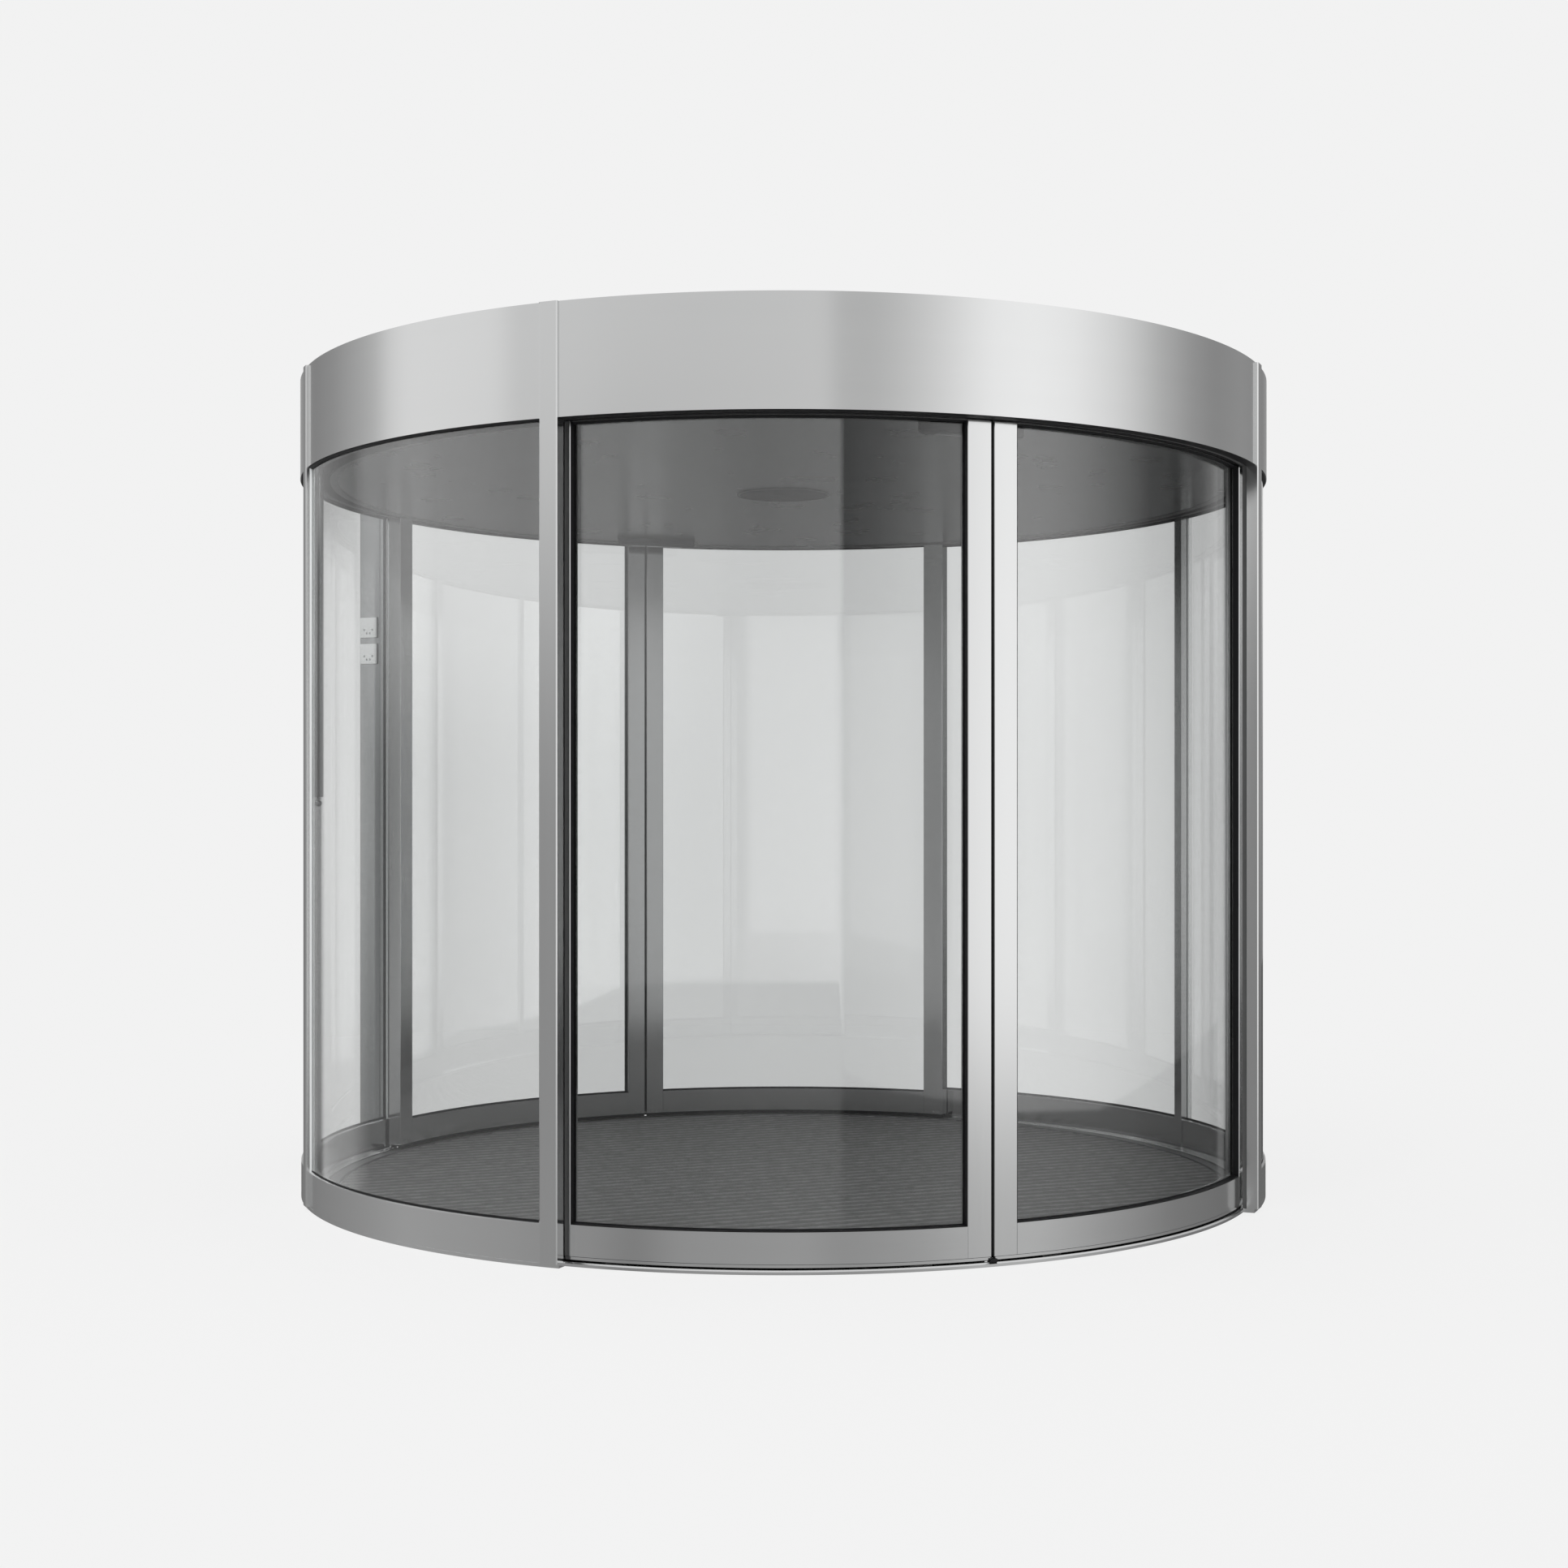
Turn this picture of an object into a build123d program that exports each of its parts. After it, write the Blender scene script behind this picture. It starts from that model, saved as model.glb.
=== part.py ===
"""Circular sliding door: a glazed drum with a bi-parting pair of curved leaves at front and rear.

Frame: origin at floor level on the axis of the drum, +Z up, front entrance towards -Y.
Angles are in degrees about +Z, counter-clockwise from above, from the +X axis.
"""
import os
from math import cos, degrees, radians, sin

from build123d import *

# ---------------------------------------------------------------- driving dimensions (mm)
CLEAR_HEIGHT = 2200.0            # floor to the underside of the canopy
CANOPY_HEIGHT = 300.0
DRUM_RADIUS = 1520.0             # outer face of the canopy fascia

# Floor
RING_HEIGHT = 11.0
RING_WIDTH_AT_SIDES = 105.0
SIDE_FACE_SETBACK = 3.0          # side rails and ring behind the fascia face
MAT_HEIGHT = 10.0
MAT_EDGE_GAP = 2.0

# Fixed side walls
POST_WIDTH = 54.0
POST_DEPTH = 34.0
POST_PROUD = 8.0                 # post face in front of the fascia face
POST_BEVEL = 3.0
ENTRANCE_HALF_ANGLE = 44.16      # entrance axis to the near face of a corner post
MULLION_WIDTH = 44.0
MULLION_DEPTH = 50.0
MULLION_PROUD = 8.0
SIDE_RAIL_HEIGHT = 100.0
SIDE_RAIL_DEPTH = 35.0
SIDE_GLASS_THICKNESS = 8.0
SIDE_GLASS_SETBACK = 11.0        # fascia face to the outer face of the side glass
GLASS_BITE = 12.0                # how far a pane sits in its rail or post
SEAL_THICKNESS = 4.0
SEAL_SETBACK = 8.0               # side of a corner post to the seal behind it

# Sliding leaves
LEAF_SETBACK = 45.0              # fascia face to the outer face of a leaf
LEAF_THICKNESS = 48.0
LEAF_GLASS_THICKNESS = 10.0
LEAF_END_ANGLE = 46.8            # entrance axis to the trailing edge of a leaf
MEETING_GAP = 8.0
MEETING_STILE_WIDTH = 68.0
TRAILING_STILE_WIDTH = 78.5
LEAF_FLOOR_GAP = 14.0            # floor ring to the underside of a leaf
LEAF_RAIL_HEIGHT = 82.0
STILE_BEVEL = 1.5
HEAD_RAIL_DEPTH = 29.0
HEAD_RAIL_HEIGHT = 67.0
RUNNING_CLEARANCE = 5.0          # least gap between a moving piece and a fixed one

# Floor guide and roller track
GUIDE_WIDTH = 8.0
GUIDE_LENGTH = 60.0
GUIDE_CLEARANCE = 2.0
GROOVE_DEPTH = 8.0
GUIDE_ENTRY = 5.0                # how deep a guide shoe reaches into its groove
HANGER_LENGTH = 120.0
HANGER_THICKNESS = 12.0
HANGER_HEIGHT = 88.0
ROLLER_RADIUS = 20.0
ROLLER_LENGTH = 28.0
ROLLER_LIFT = 0.3                # running gap between a roller and its ledge
LEDGE_REACH = 20.0
LEDGE_THICKNESS = 8.0
LEDGE_ABOVE_HEAD_RAIL = 42.0

# Canopy
FASCIA_THICKNESS = 6.0
FASCIA_FLANGE_THICKNESS = 12.0
FASCIA_LIP_WIDTH = 14.0
FASCIA_LIP_THICKNESS = 6.0
SIDE_GLASS_HEAD_BITE = 8.0
ROOF_THICKNESS = 6.0
ROOF_BELOW_RIM = 6.0
HOUSING_WALL = 6.0
HOUSING_HEIGHT = 196.0
HOUSING_INNER_GAP = 9.0          # inner face of a leaf to the inner wall of the housing
HOUSING_OUTER_GAP = 9.0
CEILING_THICKNESS = 12.0
CEILING_PANEL_COUNT = 12
CEILING_SEAM = 2.0
LAMP_RADIUS = 150.0
LAMP_THICKNESS = 18.0
LAMP_PROUD = 4.0
SEAM_GAP = 0.5                   # lamp rim and ceiling rim to the panels beside them

# Fittings
SENSOR_LENGTH = 304.0
SENSOR_WIDTH = 60.0
SENSOR_END_RADIUS = 29.0
SENSOR_DROP = 24.0
FRONT_SENSOR_EDGE_GAP = 35.0     # end of the ceiling to the sensor body
REAR_SENSOR_EDGE_GAP = 83.0
CONTROL_COLUMN_DEPTH = 86.0
SWITCH_SIZE = 72.0
SWITCH_THICKNESS = 8.0
SWITCH_PITCH = 91.5
SWITCH_CENTRE_HEIGHT = 1774.0
RELEASE_CHANNEL_WIDTH = 18.0
RELEASE_CHANNEL_DEPTH = 25.0
RELEASE_BOTTOM = 1223.0
RELEASE_BALL_RADIUS = 9.0
RELEASE_STEM_RADIUS = 3.0
RELEASE_STEM_LENGTH = 10.0       # channel to the ball
RELEASE_STEM_SEAT = 1.0          # how far the stem runs into the channel and the ball
RELEASE_GLASS_GAP = 2.0
STOP_WIDTH = 20.0
STOP_HEIGHT = 9.0
STOP_DEPTH = 16.0
STOP_EDGE_GAP = 1.0              # outer edge of the floor ring to a floor stop
CUT_MARGIN = 1.0                 # how far a cutting block runs past the faces it opens

# ---------------------------------------------------------------- derived places
FRONT = -90.0
REAR = 90.0
LEFT = 180.0
RIGHT = 0.0

total_height = CLEAR_HEIGHT + CANOPY_HEIGHT
side_face_radius = DRUM_RADIUS - SIDE_FACE_SETBACK
post_outer = DRUM_RADIUS + POST_PROUD
post_inner = post_outer - POST_DEPTH
post_half_angle = degrees(POST_WIDTH / 2.0 / post_outer)
post_offset_angle = ENTRANCE_HALF_ANGLE + post_half_angle
mullion_outer = DRUM_RADIUS + MULLION_PROUD
mullion_inner = mullion_outer - MULLION_DEPTH

side_glass_outer = DRUM_RADIUS - SIDE_GLASS_SETBACK
side_glass_inner = side_glass_outer - SIDE_GLASS_THICKNESS
side_rail_inner = side_face_radius - SIDE_RAIL_DEPTH
side_rail_top = RING_HEIGHT + SIDE_RAIL_HEIGHT

leaf_outer = DRUM_RADIUS - LEAF_SETBACK
leaf_inner = leaf_outer - LEAF_THICKNESS
leaf_middle = (leaf_outer + leaf_inner) / 2.0
leaf_bottom = RING_HEIGHT + LEAF_FLOOR_GAP
leaf_rail_top = leaf_bottom + LEAF_RAIL_HEIGHT
leaf_top = CLEAR_HEIGHT - RUNNING_CLEARANCE
head_rail_top = leaf_top + HEAD_RAIL_HEIGHT

housing_inner_wall = leaf_inner - HOUSING_INNER_GAP
housing_outer_wall = leaf_outer + HOUSING_OUTER_GAP
housing_inside = housing_inner_wall - HOUSING_WALL
housing_outside = housing_outer_wall + HOUSING_WALL
housing_top = CLEAR_HEIGHT + HOUSING_HEIGHT
slot_inner = leaf_middle - HEAD_RAIL_DEPTH / 2.0 - RUNNING_CLEARANCE
slot_outer = leaf_middle + HEAD_RAIL_DEPTH / 2.0 + RUNNING_CLEARANCE
ledge_top = head_rail_top + LEDGE_ABOVE_HEAD_RAIL

entrance_ring_outer = leaf_outer + HOUSING_OUTER_GAP
ring_inner = side_face_radius - RING_WIDTH_AT_SIDES
mat_radius = ring_inner - MAT_EDGE_GAP
fascia_inner = DRUM_RADIUS - FASCIA_THICKNESS
roof_top = total_height - ROOF_BELOW_RIM
ceiling_radius = housing_inside - SEAM_GAP


# ---------------------------------------------------------------- shape helpers
def arc_block(inner, outer, start, end, low, high):
    """Curved block between two radii, two angles and two heights."""
    first = min(start, end)
    sweep = abs(end - start)
    outer_arc = CenterArc((0, 0), outer, first, sweep)
    inner_arc = CenterArc((0, 0), inner, first, sweep)
    near_side = Line(inner_arc @ 0, outer_arc @ 0)
    far_side = Line(inner_arc @ 1, outer_arc @ 1)
    outline = make_face([outer_arc, far_side, inner_arc, near_side])
    return extrude(Pos(0, 0, low) * outline, amount=high - low)


def ring(inner, outer, low, high):
    """Full ring of rectangular section."""
    height = high - low
    disc = Cylinder(outer, height, align=(Align.CENTER, Align.CENTER, Align.MIN))
    hole = Cylinder(inner, height, align=(Align.CENTER, Align.CENTER, Align.MIN))
    return Pos(0, 0, low) * (disc - hole)


def upright(inner, outer, width, angle, low, high, shift=0.0):
    """Straight block standing at an angle, its depth along the radius, moved sideways by shift."""
    block = Box(outer - inner, width, high - low, align=(Align.MIN, Align.CENTER, Align.MIN))
    return Rot(0, 0, angle) * Pos(inner, shift, low) * block


def arc_angle(length, radius):
    """Angle in degrees that an arc of this length covers."""
    return degrees(length / radius)


def save(shape, name):
    """Write one node."""
    export_step(shape, f"parts/{name}.step")


os.makedirs("parts", exist_ok=True)

# ---------------------------------------------------------------- corner posts and mullions
corner_posts = {}
post_seals = []
for place, entrance, side in (
    ("front_left", FRONT, -1),
    ("front_right", FRONT, 1),
    ("rear_left", REAR, 1),
    ("rear_right", REAR, -1),
):
    angle = entrance + side * post_offset_angle
    post = upright(post_inner, post_outer, POST_WIDTH, angle, RING_HEIGHT, total_height)
    rim = post.edges().filter_by(Axis.Z).sort_by_distance((0, 0, total_height / 2.0))[-2:]
    corner_posts[place] = chamfer(rim, POST_BEVEL)
    shift = -side * ((POST_WIDTH - SEAL_THICKNESS) / 2.0 - SEAL_SETBACK)
    seal_inner = leaf_outer + RUNNING_CLEARANCE
    post_seals.append(
        upright(seal_inner, post_inner, SEAL_THICKNESS, angle, RING_HEIGHT, CLEAR_HEIGHT, shift)
    )

mullions = {}
for place, angle in (("left", LEFT), ("right", RIGHT)):
    mullion = upright(mullion_inner, mullion_outer, MULLION_WIDTH, angle, RING_HEIGHT, total_height)
    rim = mullion.edges().filter_by(Axis.Z).sort_by_distance((0, 0, total_height / 2.0))[-2:]
    mullions[place] = chamfer(rim, POST_BEVEL)

uprights = list(corner_posts.values()) + list(mullions.values())

# ---------------------------------------------------------------- fixed side walls
side_glass = {"left": [], "right": []}
side_rails = {"left": [], "right": []}
for place, facing in (("left", LEFT), ("right", RIGHT)):
    for turn in (-1, 1):
        near = facing
        far = facing + turn * (90.0 - post_offset_angle)
        pane = arc_block(
            side_glass_inner, side_glass_outer, near, far,
            side_rail_top - GLASS_BITE, CLEAR_HEIGHT + SIDE_GLASS_HEAD_BITE,
        )
        # A pane ends inside the post and the mullion, at the depth of its bite.
        keep_clear = upright(
            side_rail_inner, post_outer, MULLION_WIDTH - 2.0 * GLASS_BITE, facing, 0.0, total_height
        )
        post_core = upright(
            side_rail_inner, post_outer, POST_WIDTH - 2.0 * GLASS_BITE, far, 0.0, total_height
        )
        pane = pane - keep_clear - post_core
        rail = arc_block(side_rail_inner, side_face_radius, near, far, RING_HEIGHT, side_rail_top)
        for solid in uprights:
            rail = rail - solid
        rail = rail - pane
        side_glass[place].append(pane.solid())
        side_rails[place].append(rail.solids().sort_by(SortBy.VOLUME)[-1])

panes = side_glass["left"] + side_glass["right"]
for place, post in corner_posts.items():
    for pane in panes:
        post = post - pane
    corner_posts[place] = post
for place, mullion in mullions.items():
    for pane in panes:
        mullion = mullion - pane
    mullions[place] = mullion

# ---------------------------------------------------------------- floor ring and mat
floor_ring = ring(ring_inner, entrance_ring_outer, 0.0, RING_HEIGHT)
for facing in (LEFT, RIGHT):
    reach = 90.0 - ENTRANCE_HALF_ANGLE
    floor_ring = floor_ring + arc_block(
        ring_inner, side_face_radius, facing - reach, facing + reach, 0.0, RING_HEIGHT
    )
groove_half = GUIDE_WIDTH / 2.0 + GUIDE_CLEARANCE
floor_ring = floor_ring - ring(
    leaf_middle - groove_half, leaf_middle + groove_half, RING_HEIGHT - GROOVE_DEPTH, RING_HEIGHT
)
floor_mat = Cylinder(mat_radius, MAT_HEIGHT, align=(Align.CENTER, Align.CENTER, Align.MIN))

# ---------------------------------------------------------------- canopy
fascia_section = [
    (slice_inner, slice_outer, low, high)
    for slice_inner, slice_outer, low, high in (
        (fascia_inner, DRUM_RADIUS, CLEAR_HEIGHT, total_height),
        (housing_outside, fascia_inner, CLEAR_HEIGHT, CLEAR_HEIGHT + FASCIA_FLANGE_THICKNESS),
        (
            fascia_inner - FASCIA_LIP_WIDTH, fascia_inner,
            roof_top - ROOF_THICKNESS - FASCIA_LIP_THICKNESS, roof_top - ROOF_THICKNESS,
        ),
    )
]


def fascia_piece(start, end):
    """Curved canopy fascia with its soffit flange and roof lip, cut to fit the uprights."""
    piece = None
    for inner, outer, low, high in fascia_section:
        slab = arc_block(inner, outer, start, end, low, high)
        piece = slab if piece is None else piece + slab
    for solid in uprights:
        piece = piece - solid
    for pane in panes:
        piece = piece - pane
    return piece.solids().sort_by(SortBy.VOLUME)[-1]


fascias = {}
for place, facing in (("front", FRONT), ("rear", REAR)):
    fascias[place] = [fascia_piece(facing - post_offset_angle, facing + post_offset_angle)]
for place, facing in (("left", LEFT), ("right", RIGHT)):
    reach = 90.0 - post_offset_angle
    fascias[place] = [fascia_piece(facing, facing + reach), fascia_piece(facing - reach, facing)]

roof_cover = Cylinder(fascia_inner, ROOF_THICKNESS, align=(Align.CENTER, Align.CENTER, Align.MIN))
roof_cover = Pos(0, 0, roof_top - ROOF_THICKNESS) * roof_cover
for solid in uprights:
    roof_cover = roof_cover - solid

housing = ring(housing_inside, housing_outside, CLEAR_HEIGHT, housing_top)
housing = housing - ring(
    housing_inner_wall, housing_outer_wall, CLEAR_HEIGHT + HOUSING_WALL, housing_top - HOUSING_WALL
)
housing = housing - ring(slot_inner, slot_outer, CLEAR_HEIGHT, CLEAR_HEIGHT + HOUSING_WALL)
ledge = ring(
    housing_inner_wall, housing_inner_wall + LEDGE_REACH, ledge_top - LEDGE_THICKNESS, ledge_top
)
track_housing = housing + ledge
for solid in uprights:
    track_housing = track_housing - solid

# ---------------------------------------------------------------- ceiling
ceiling_panels = []
panel_angle = 360.0 / CEILING_PANEL_COUNT
lamp_seat = LAMP_RADIUS + SEAM_GAP
for index in range(CEILING_PANEL_COUNT):
    middle = index * panel_angle
    wedge = arc_block(
        lamp_seat, ceiling_radius, middle - panel_angle / 2.0, middle + panel_angle / 2.0,
        CLEAR_HEIGHT, CLEAR_HEIGHT + CEILING_THICKNESS,
    )
    for turn in (-1, 1):
        seam = upright(
            0.0, DRUM_RADIUS, CEILING_SEAM, middle + turn * panel_angle / 2.0,
            CLEAR_HEIGHT - CUT_MARGIN, CLEAR_HEIGHT + CEILING_THICKNESS + CUT_MARGIN,
        )
        wedge = wedge - seam
    ceiling_panels.append(wedge.solid())

ceiling_deck = Cylinder(
    housing_inside, CEILING_THICKNESS, align=(Align.CENTER, Align.CENTER, Align.MIN)
)
lamp_recess = Cylinder(lamp_seat, CEILING_THICKNESS, align=(Align.CENTER, Align.CENTER, Align.MIN))
ceiling_deck = Pos(0, 0, CLEAR_HEIGHT + CEILING_THICKNESS) * (ceiling_deck - lamp_recess)
ceiling_lamp = Pos(0, 0, CLEAR_HEIGHT - LAMP_PROUD) * Cylinder(
    LAMP_RADIUS, LAMP_THICKNESS, align=(Align.CENTER, Align.CENTER, Align.MIN)
)

# ---------------------------------------------------------------- fittings
sensors = {}
for place, facing, edge_gap in (
    ("front", FRONT, FRONT_SENSOR_EDGE_GAP), ("rear", REAR, REAR_SENSOR_EDGE_GAP)
):
    centre_radius = ceiling_radius - edge_gap - SENSOR_WIDTH / 2.0
    body = Box(
        SENSOR_DROP, SENSOR_LENGTH, SENSOR_WIDTH, align=(Align.MIN, Align.CENTER, Align.CENTER)
    )
    body = fillet(body.edges().filter_by(Axis.X), SENSOR_END_RADIUS)
    body = Rot(0, 90, 0) * body
    sensors[place] = Rot(0, 0, facing) * Pos(centre_radius, 0, CLEAR_HEIGHT) * body

column_angle = REAR + post_offset_angle
column_outer = post_outer + CONTROL_COLUMN_DEPTH
control_column = upright(post_outer, column_outer, POST_WIDTH, column_angle, RING_HEIGHT, total_height)
rim = control_column.edges().filter_by(Axis.Z).sort_by_distance((0, 0, total_height / 2.0))[-2:]
control_column = chamfer(rim, POST_BEVEL)
switch_plates = []
switch_middle = (post_outer + column_outer) / 2.0
for turn in (-1, 1):
    centre = SWITCH_CENTRE_HEIGHT + turn * SWITCH_PITCH / 2.0
    switch_plates.append(
        upright(
            switch_middle - SWITCH_SIZE / 2.0, switch_middle + SWITCH_SIZE / 2.0, SWITCH_THICKNESS,
            column_angle, centre - SWITCH_SIZE / 2.0, centre + SWITCH_SIZE / 2.0,
            (POST_WIDTH + SWITCH_THICKNESS) / 2.0,
        )
    )

release_shift = (MULLION_WIDTH + RELEASE_CHANNEL_WIDTH) / 2.0
release_inner = side_glass_inner - RELEASE_GLASS_GAP - RELEASE_CHANNEL_DEPTH
release_channel = upright(
    release_inner, release_inner + RELEASE_CHANNEL_DEPTH, RELEASE_CHANNEL_WIDTH, LEFT,
    RELEASE_BOTTOM, CLEAR_HEIGHT, release_shift,
)
stem_bottom = RELEASE_BOTTOM - RELEASE_STEM_LENGTH - RELEASE_STEM_SEAT
stem_height = RELEASE_STEM_LENGTH + 2.0 * RELEASE_STEM_SEAT
ball_height = RELEASE_BOTTOM - RELEASE_STEM_LENGTH - RELEASE_BALL_RADIUS
release_middle = release_inner + RELEASE_CHANNEL_DEPTH / 2.0
stem = Cylinder(
    RELEASE_STEM_RADIUS, stem_height, align=(Align.CENTER, Align.CENTER, Align.MIN)
)
release_pull = Pos(release_middle, release_shift, stem_bottom) * stem
release_pull = release_pull + Pos(release_middle, release_shift, ball_height) * Sphere(RELEASE_BALL_RADIUS)
release_channel = release_channel + Rot(0, 0, LEFT) * release_pull

floor_stops = []
stop_outer = entrance_ring_outer - STOP_EDGE_GAP
stop_inner = stop_outer - STOP_DEPTH
stop_top = RING_HEIGHT + STOP_HEIGHT
for facing in (FRONT, REAR):
    floor_stops.append(upright(stop_inner, stop_outer, STOP_WIDTH, facing, RING_HEIGHT, stop_top))

# ---------------------------------------------------------------- sliding leaves
LEAVES = (
    ("front_left", FRONT, -1),
    ("front_right", FRONT, 1),
    ("rear_left", REAR, 1),
    ("rear_right", REAR, -1),
)


def leaf_block(entrance, side, inner, outer, start, end, low, high):
    """Block of a leaf, placed by its angles from the entrance axis."""
    return arc_block(inner, outer, entrance + side * start, entrance + side * end, low, high)


def bevelled(block):
    """The same block with its upright edges broken."""
    return chamfer(block.edges().filter_by(Axis.Z), STILE_BEVEL)


def make_leaf(entrance, side):
    """One curved leaf: stiles, bottom rail with guide shoes, head rail with rollers, glass."""
    lead = arc_angle(MEETING_GAP / 2.0, leaf_outer)
    lead_inner = lead + arc_angle(MEETING_STILE_WIDTH, leaf_outer)
    trail = LEAF_END_ANGLE
    trail_inner = trail - arc_angle(TRAILING_STILE_WIDTH, leaf_outer)
    bite = arc_angle(GLASS_BITE, leaf_middle)

    glass = leaf_block(
        entrance, side, leaf_middle - LEAF_GLASS_THICKNESS / 2.0, leaf_middle + LEAF_GLASS_THICKNESS / 2.0,
        lead_inner - bite, trail_inner + bite, leaf_rail_top - GLASS_BITE, leaf_top + GLASS_BITE,
    )
    stiles = []
    for start, end in ((lead, lead_inner), (trail_inner, trail)):
        stile = leaf_block(entrance, side, leaf_inner, leaf_outer, start, end, leaf_bottom, leaf_top)
        stiles.append((bevelled(stile) - glass).solid())

    rail = leaf_block(
        entrance, side, leaf_inner, leaf_outer, lead_inner, trail_inner, leaf_bottom, leaf_rail_top
    )
    rail = rail - glass
    shoe_half = arc_angle(GUIDE_LENGTH / 2.0, leaf_middle)
    hanger_half = arc_angle(HANGER_LENGTH / 2.0, leaf_middle)
    head = leaf_block(
        entrance, side, leaf_middle - HEAD_RAIL_DEPTH / 2.0, leaf_middle + HEAD_RAIL_DEPTH / 2.0,
        lead, trail, leaf_top, head_rail_top,
    )
    head = head - glass
    for centre in (lead_inner + 2.0 * hanger_half, trail_inner - 2.0 * hanger_half):
        shoe = leaf_block(
            entrance, side, leaf_middle - GUIDE_WIDTH / 2.0, leaf_middle + GUIDE_WIDTH / 2.0,
            centre - shoe_half, centre + shoe_half, RING_HEIGHT - GUIDE_ENTRY, leaf_bottom,
        )
        rail = rail + shoe
        hanger = leaf_block(
            entrance, side, leaf_middle - HANGER_THICKNESS / 2.0, leaf_middle + HANGER_THICKNESS / 2.0,
            centre - hanger_half, centre + hanger_half, head_rail_top, head_rail_top + HANGER_HEIGHT,
        )
        head = head + hanger
        for turn in (-1, 1):
            angle = entrance + side * (centre + turn * hanger_half / 2.0)
            roller = Cylinder(ROLLER_RADIUS, ROLLER_LENGTH, align=(Align.CENTER, Align.CENTER, Align.MAX))
            roller = Rot(0, 90, 0) * roller
            height = ledge_top + ROLLER_LIFT + ROLLER_RADIUS
            head = head + Rot(0, 0, angle) * Pos(leaf_middle, 0, height) * roller
    return {"stiles": stiles, "bottom_rail": [rail], "head_rail": [head], "glass": [glass]}


# ---------------------------------------------------------------- write every node
save(floor_ring, "floor_ring")
save(floor_mat, "floor_mat")
for place, pieces in fascias.items():
    save(Compound(pieces), f"fascia_{place}")
save(roof_cover, "roof_cover")
save(track_housing, "track_housing")
save(Compound(ceiling_panels), "ceiling_panels")
save(ceiling_deck, "ceiling_deck")
save(ceiling_lamp, "ceiling_lamp")
for place, post in corner_posts.items():
    save(post, f"corner_post_{place}")
for place, mullion in mullions.items():
    save(mullion, f"side_mullion_{place}")
for place in ("left", "right"):
    save(Compound(side_rails[place]), f"side_rail_{place}")
    save(Compound(side_glass[place]), f"side_glass_{place}")
save(Compound(post_seals), "post_seals")
for place, sensor in sensors.items():
    save(sensor, f"sensor_{place}")
save(control_column, "control_column")
save(Compound(switch_plates), "switch_plates")
save(release_channel, "release_channel")
save(Compound(floor_stops), "floor_stops")
for name, entrance, side in LEAVES:
    for part_name, pieces in make_leaf(entrance, side).items():
        save(Compound(pieces), f"{name}_{part_name}")
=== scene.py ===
"""Circular sliding door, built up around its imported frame. Metres, floor at height 0, front towards -Y."""
from math import degrees, pi, radians, sqrt

import bmesh
import bpy
from mathutils import Matrix, Vector


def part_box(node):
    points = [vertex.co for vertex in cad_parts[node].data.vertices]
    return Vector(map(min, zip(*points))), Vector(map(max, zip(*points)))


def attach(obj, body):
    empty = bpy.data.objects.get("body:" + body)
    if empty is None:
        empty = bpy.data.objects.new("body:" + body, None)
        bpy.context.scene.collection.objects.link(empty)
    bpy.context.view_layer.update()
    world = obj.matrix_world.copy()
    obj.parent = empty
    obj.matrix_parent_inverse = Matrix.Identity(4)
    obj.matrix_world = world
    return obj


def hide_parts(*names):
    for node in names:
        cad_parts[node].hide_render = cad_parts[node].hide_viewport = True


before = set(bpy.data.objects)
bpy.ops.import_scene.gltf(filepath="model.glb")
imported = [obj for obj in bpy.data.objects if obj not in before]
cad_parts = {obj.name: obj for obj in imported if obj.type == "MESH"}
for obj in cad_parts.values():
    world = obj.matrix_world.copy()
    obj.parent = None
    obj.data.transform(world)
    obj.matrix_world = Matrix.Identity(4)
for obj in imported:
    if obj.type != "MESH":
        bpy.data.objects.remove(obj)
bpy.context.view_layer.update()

# ---------------------------------------------------------------- floor ring
# A rolled aluminium threshold that lies on the floor. The guide shoes of the leaves run in its groove,
# which parts the tread inside, darker as painted shade, from the bright nosing outside.
FRONT, REAR, LEFT, RIGHT = -90.0, 90.0, 180.0, 0.0
ARC_STEP = 1.5  # degrees that one flat of a curved piece covers
CREASE = 32.0  # degrees from which an edge stays crisp
RING_INSIDE = 1.412
ENTRANCE_RING = 1.484  # outer edge of the ring across an entrance
SIDE_FACE = 1.517  # outer face of the ring and the rails of the side walls
SIDE_HALF_ANGLE = 45.84
ring_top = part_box("floor_ring")[1].z


def round_edges(part, edges, offset, segments):
    """Rounds the given edges of a part."""
    bmesh.ops.bevel(
        part, geom=edges, offset=offset, offset_type="OFFSET", affect="EDGES", segments=segments,
        profile=0.5, material=-1,
    )


def sweep(bm, section, start, end, step=ARC_STEP):
    """Carries a closed section of (radius, height) points round the axis of the drum between two angles."""
    part = bmesh.new()
    part.faces.new([part.verts.new((radius, 0.0, height)) for radius, height in section])
    whole = abs(end - start) == 360.0
    if whole:
        bmesh.ops.delete(part, geom=part.faces[:], context="FACES_ONLY")
    bmesh.ops.rotate(part, verts=part.verts, cent=(0, 0, 0), matrix=Matrix.Rotation(radians(start), 3, "Z"))
    bmesh.ops.spin(
        part, geom=part.verts[:] + part.edges[:] + part.faces[:], cent=(0, 0, 0), axis=(0, 0, 1),
        angle=radians(end - start), steps=max(1, round(abs(end - start) / step)), use_merge=whole,
    )
    add_part(bm, part)


def upright(near, far, low, high):
    """Section between two radii and two heights."""
    return [(near, low), (far, low), (far, high), (near, high)]


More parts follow.
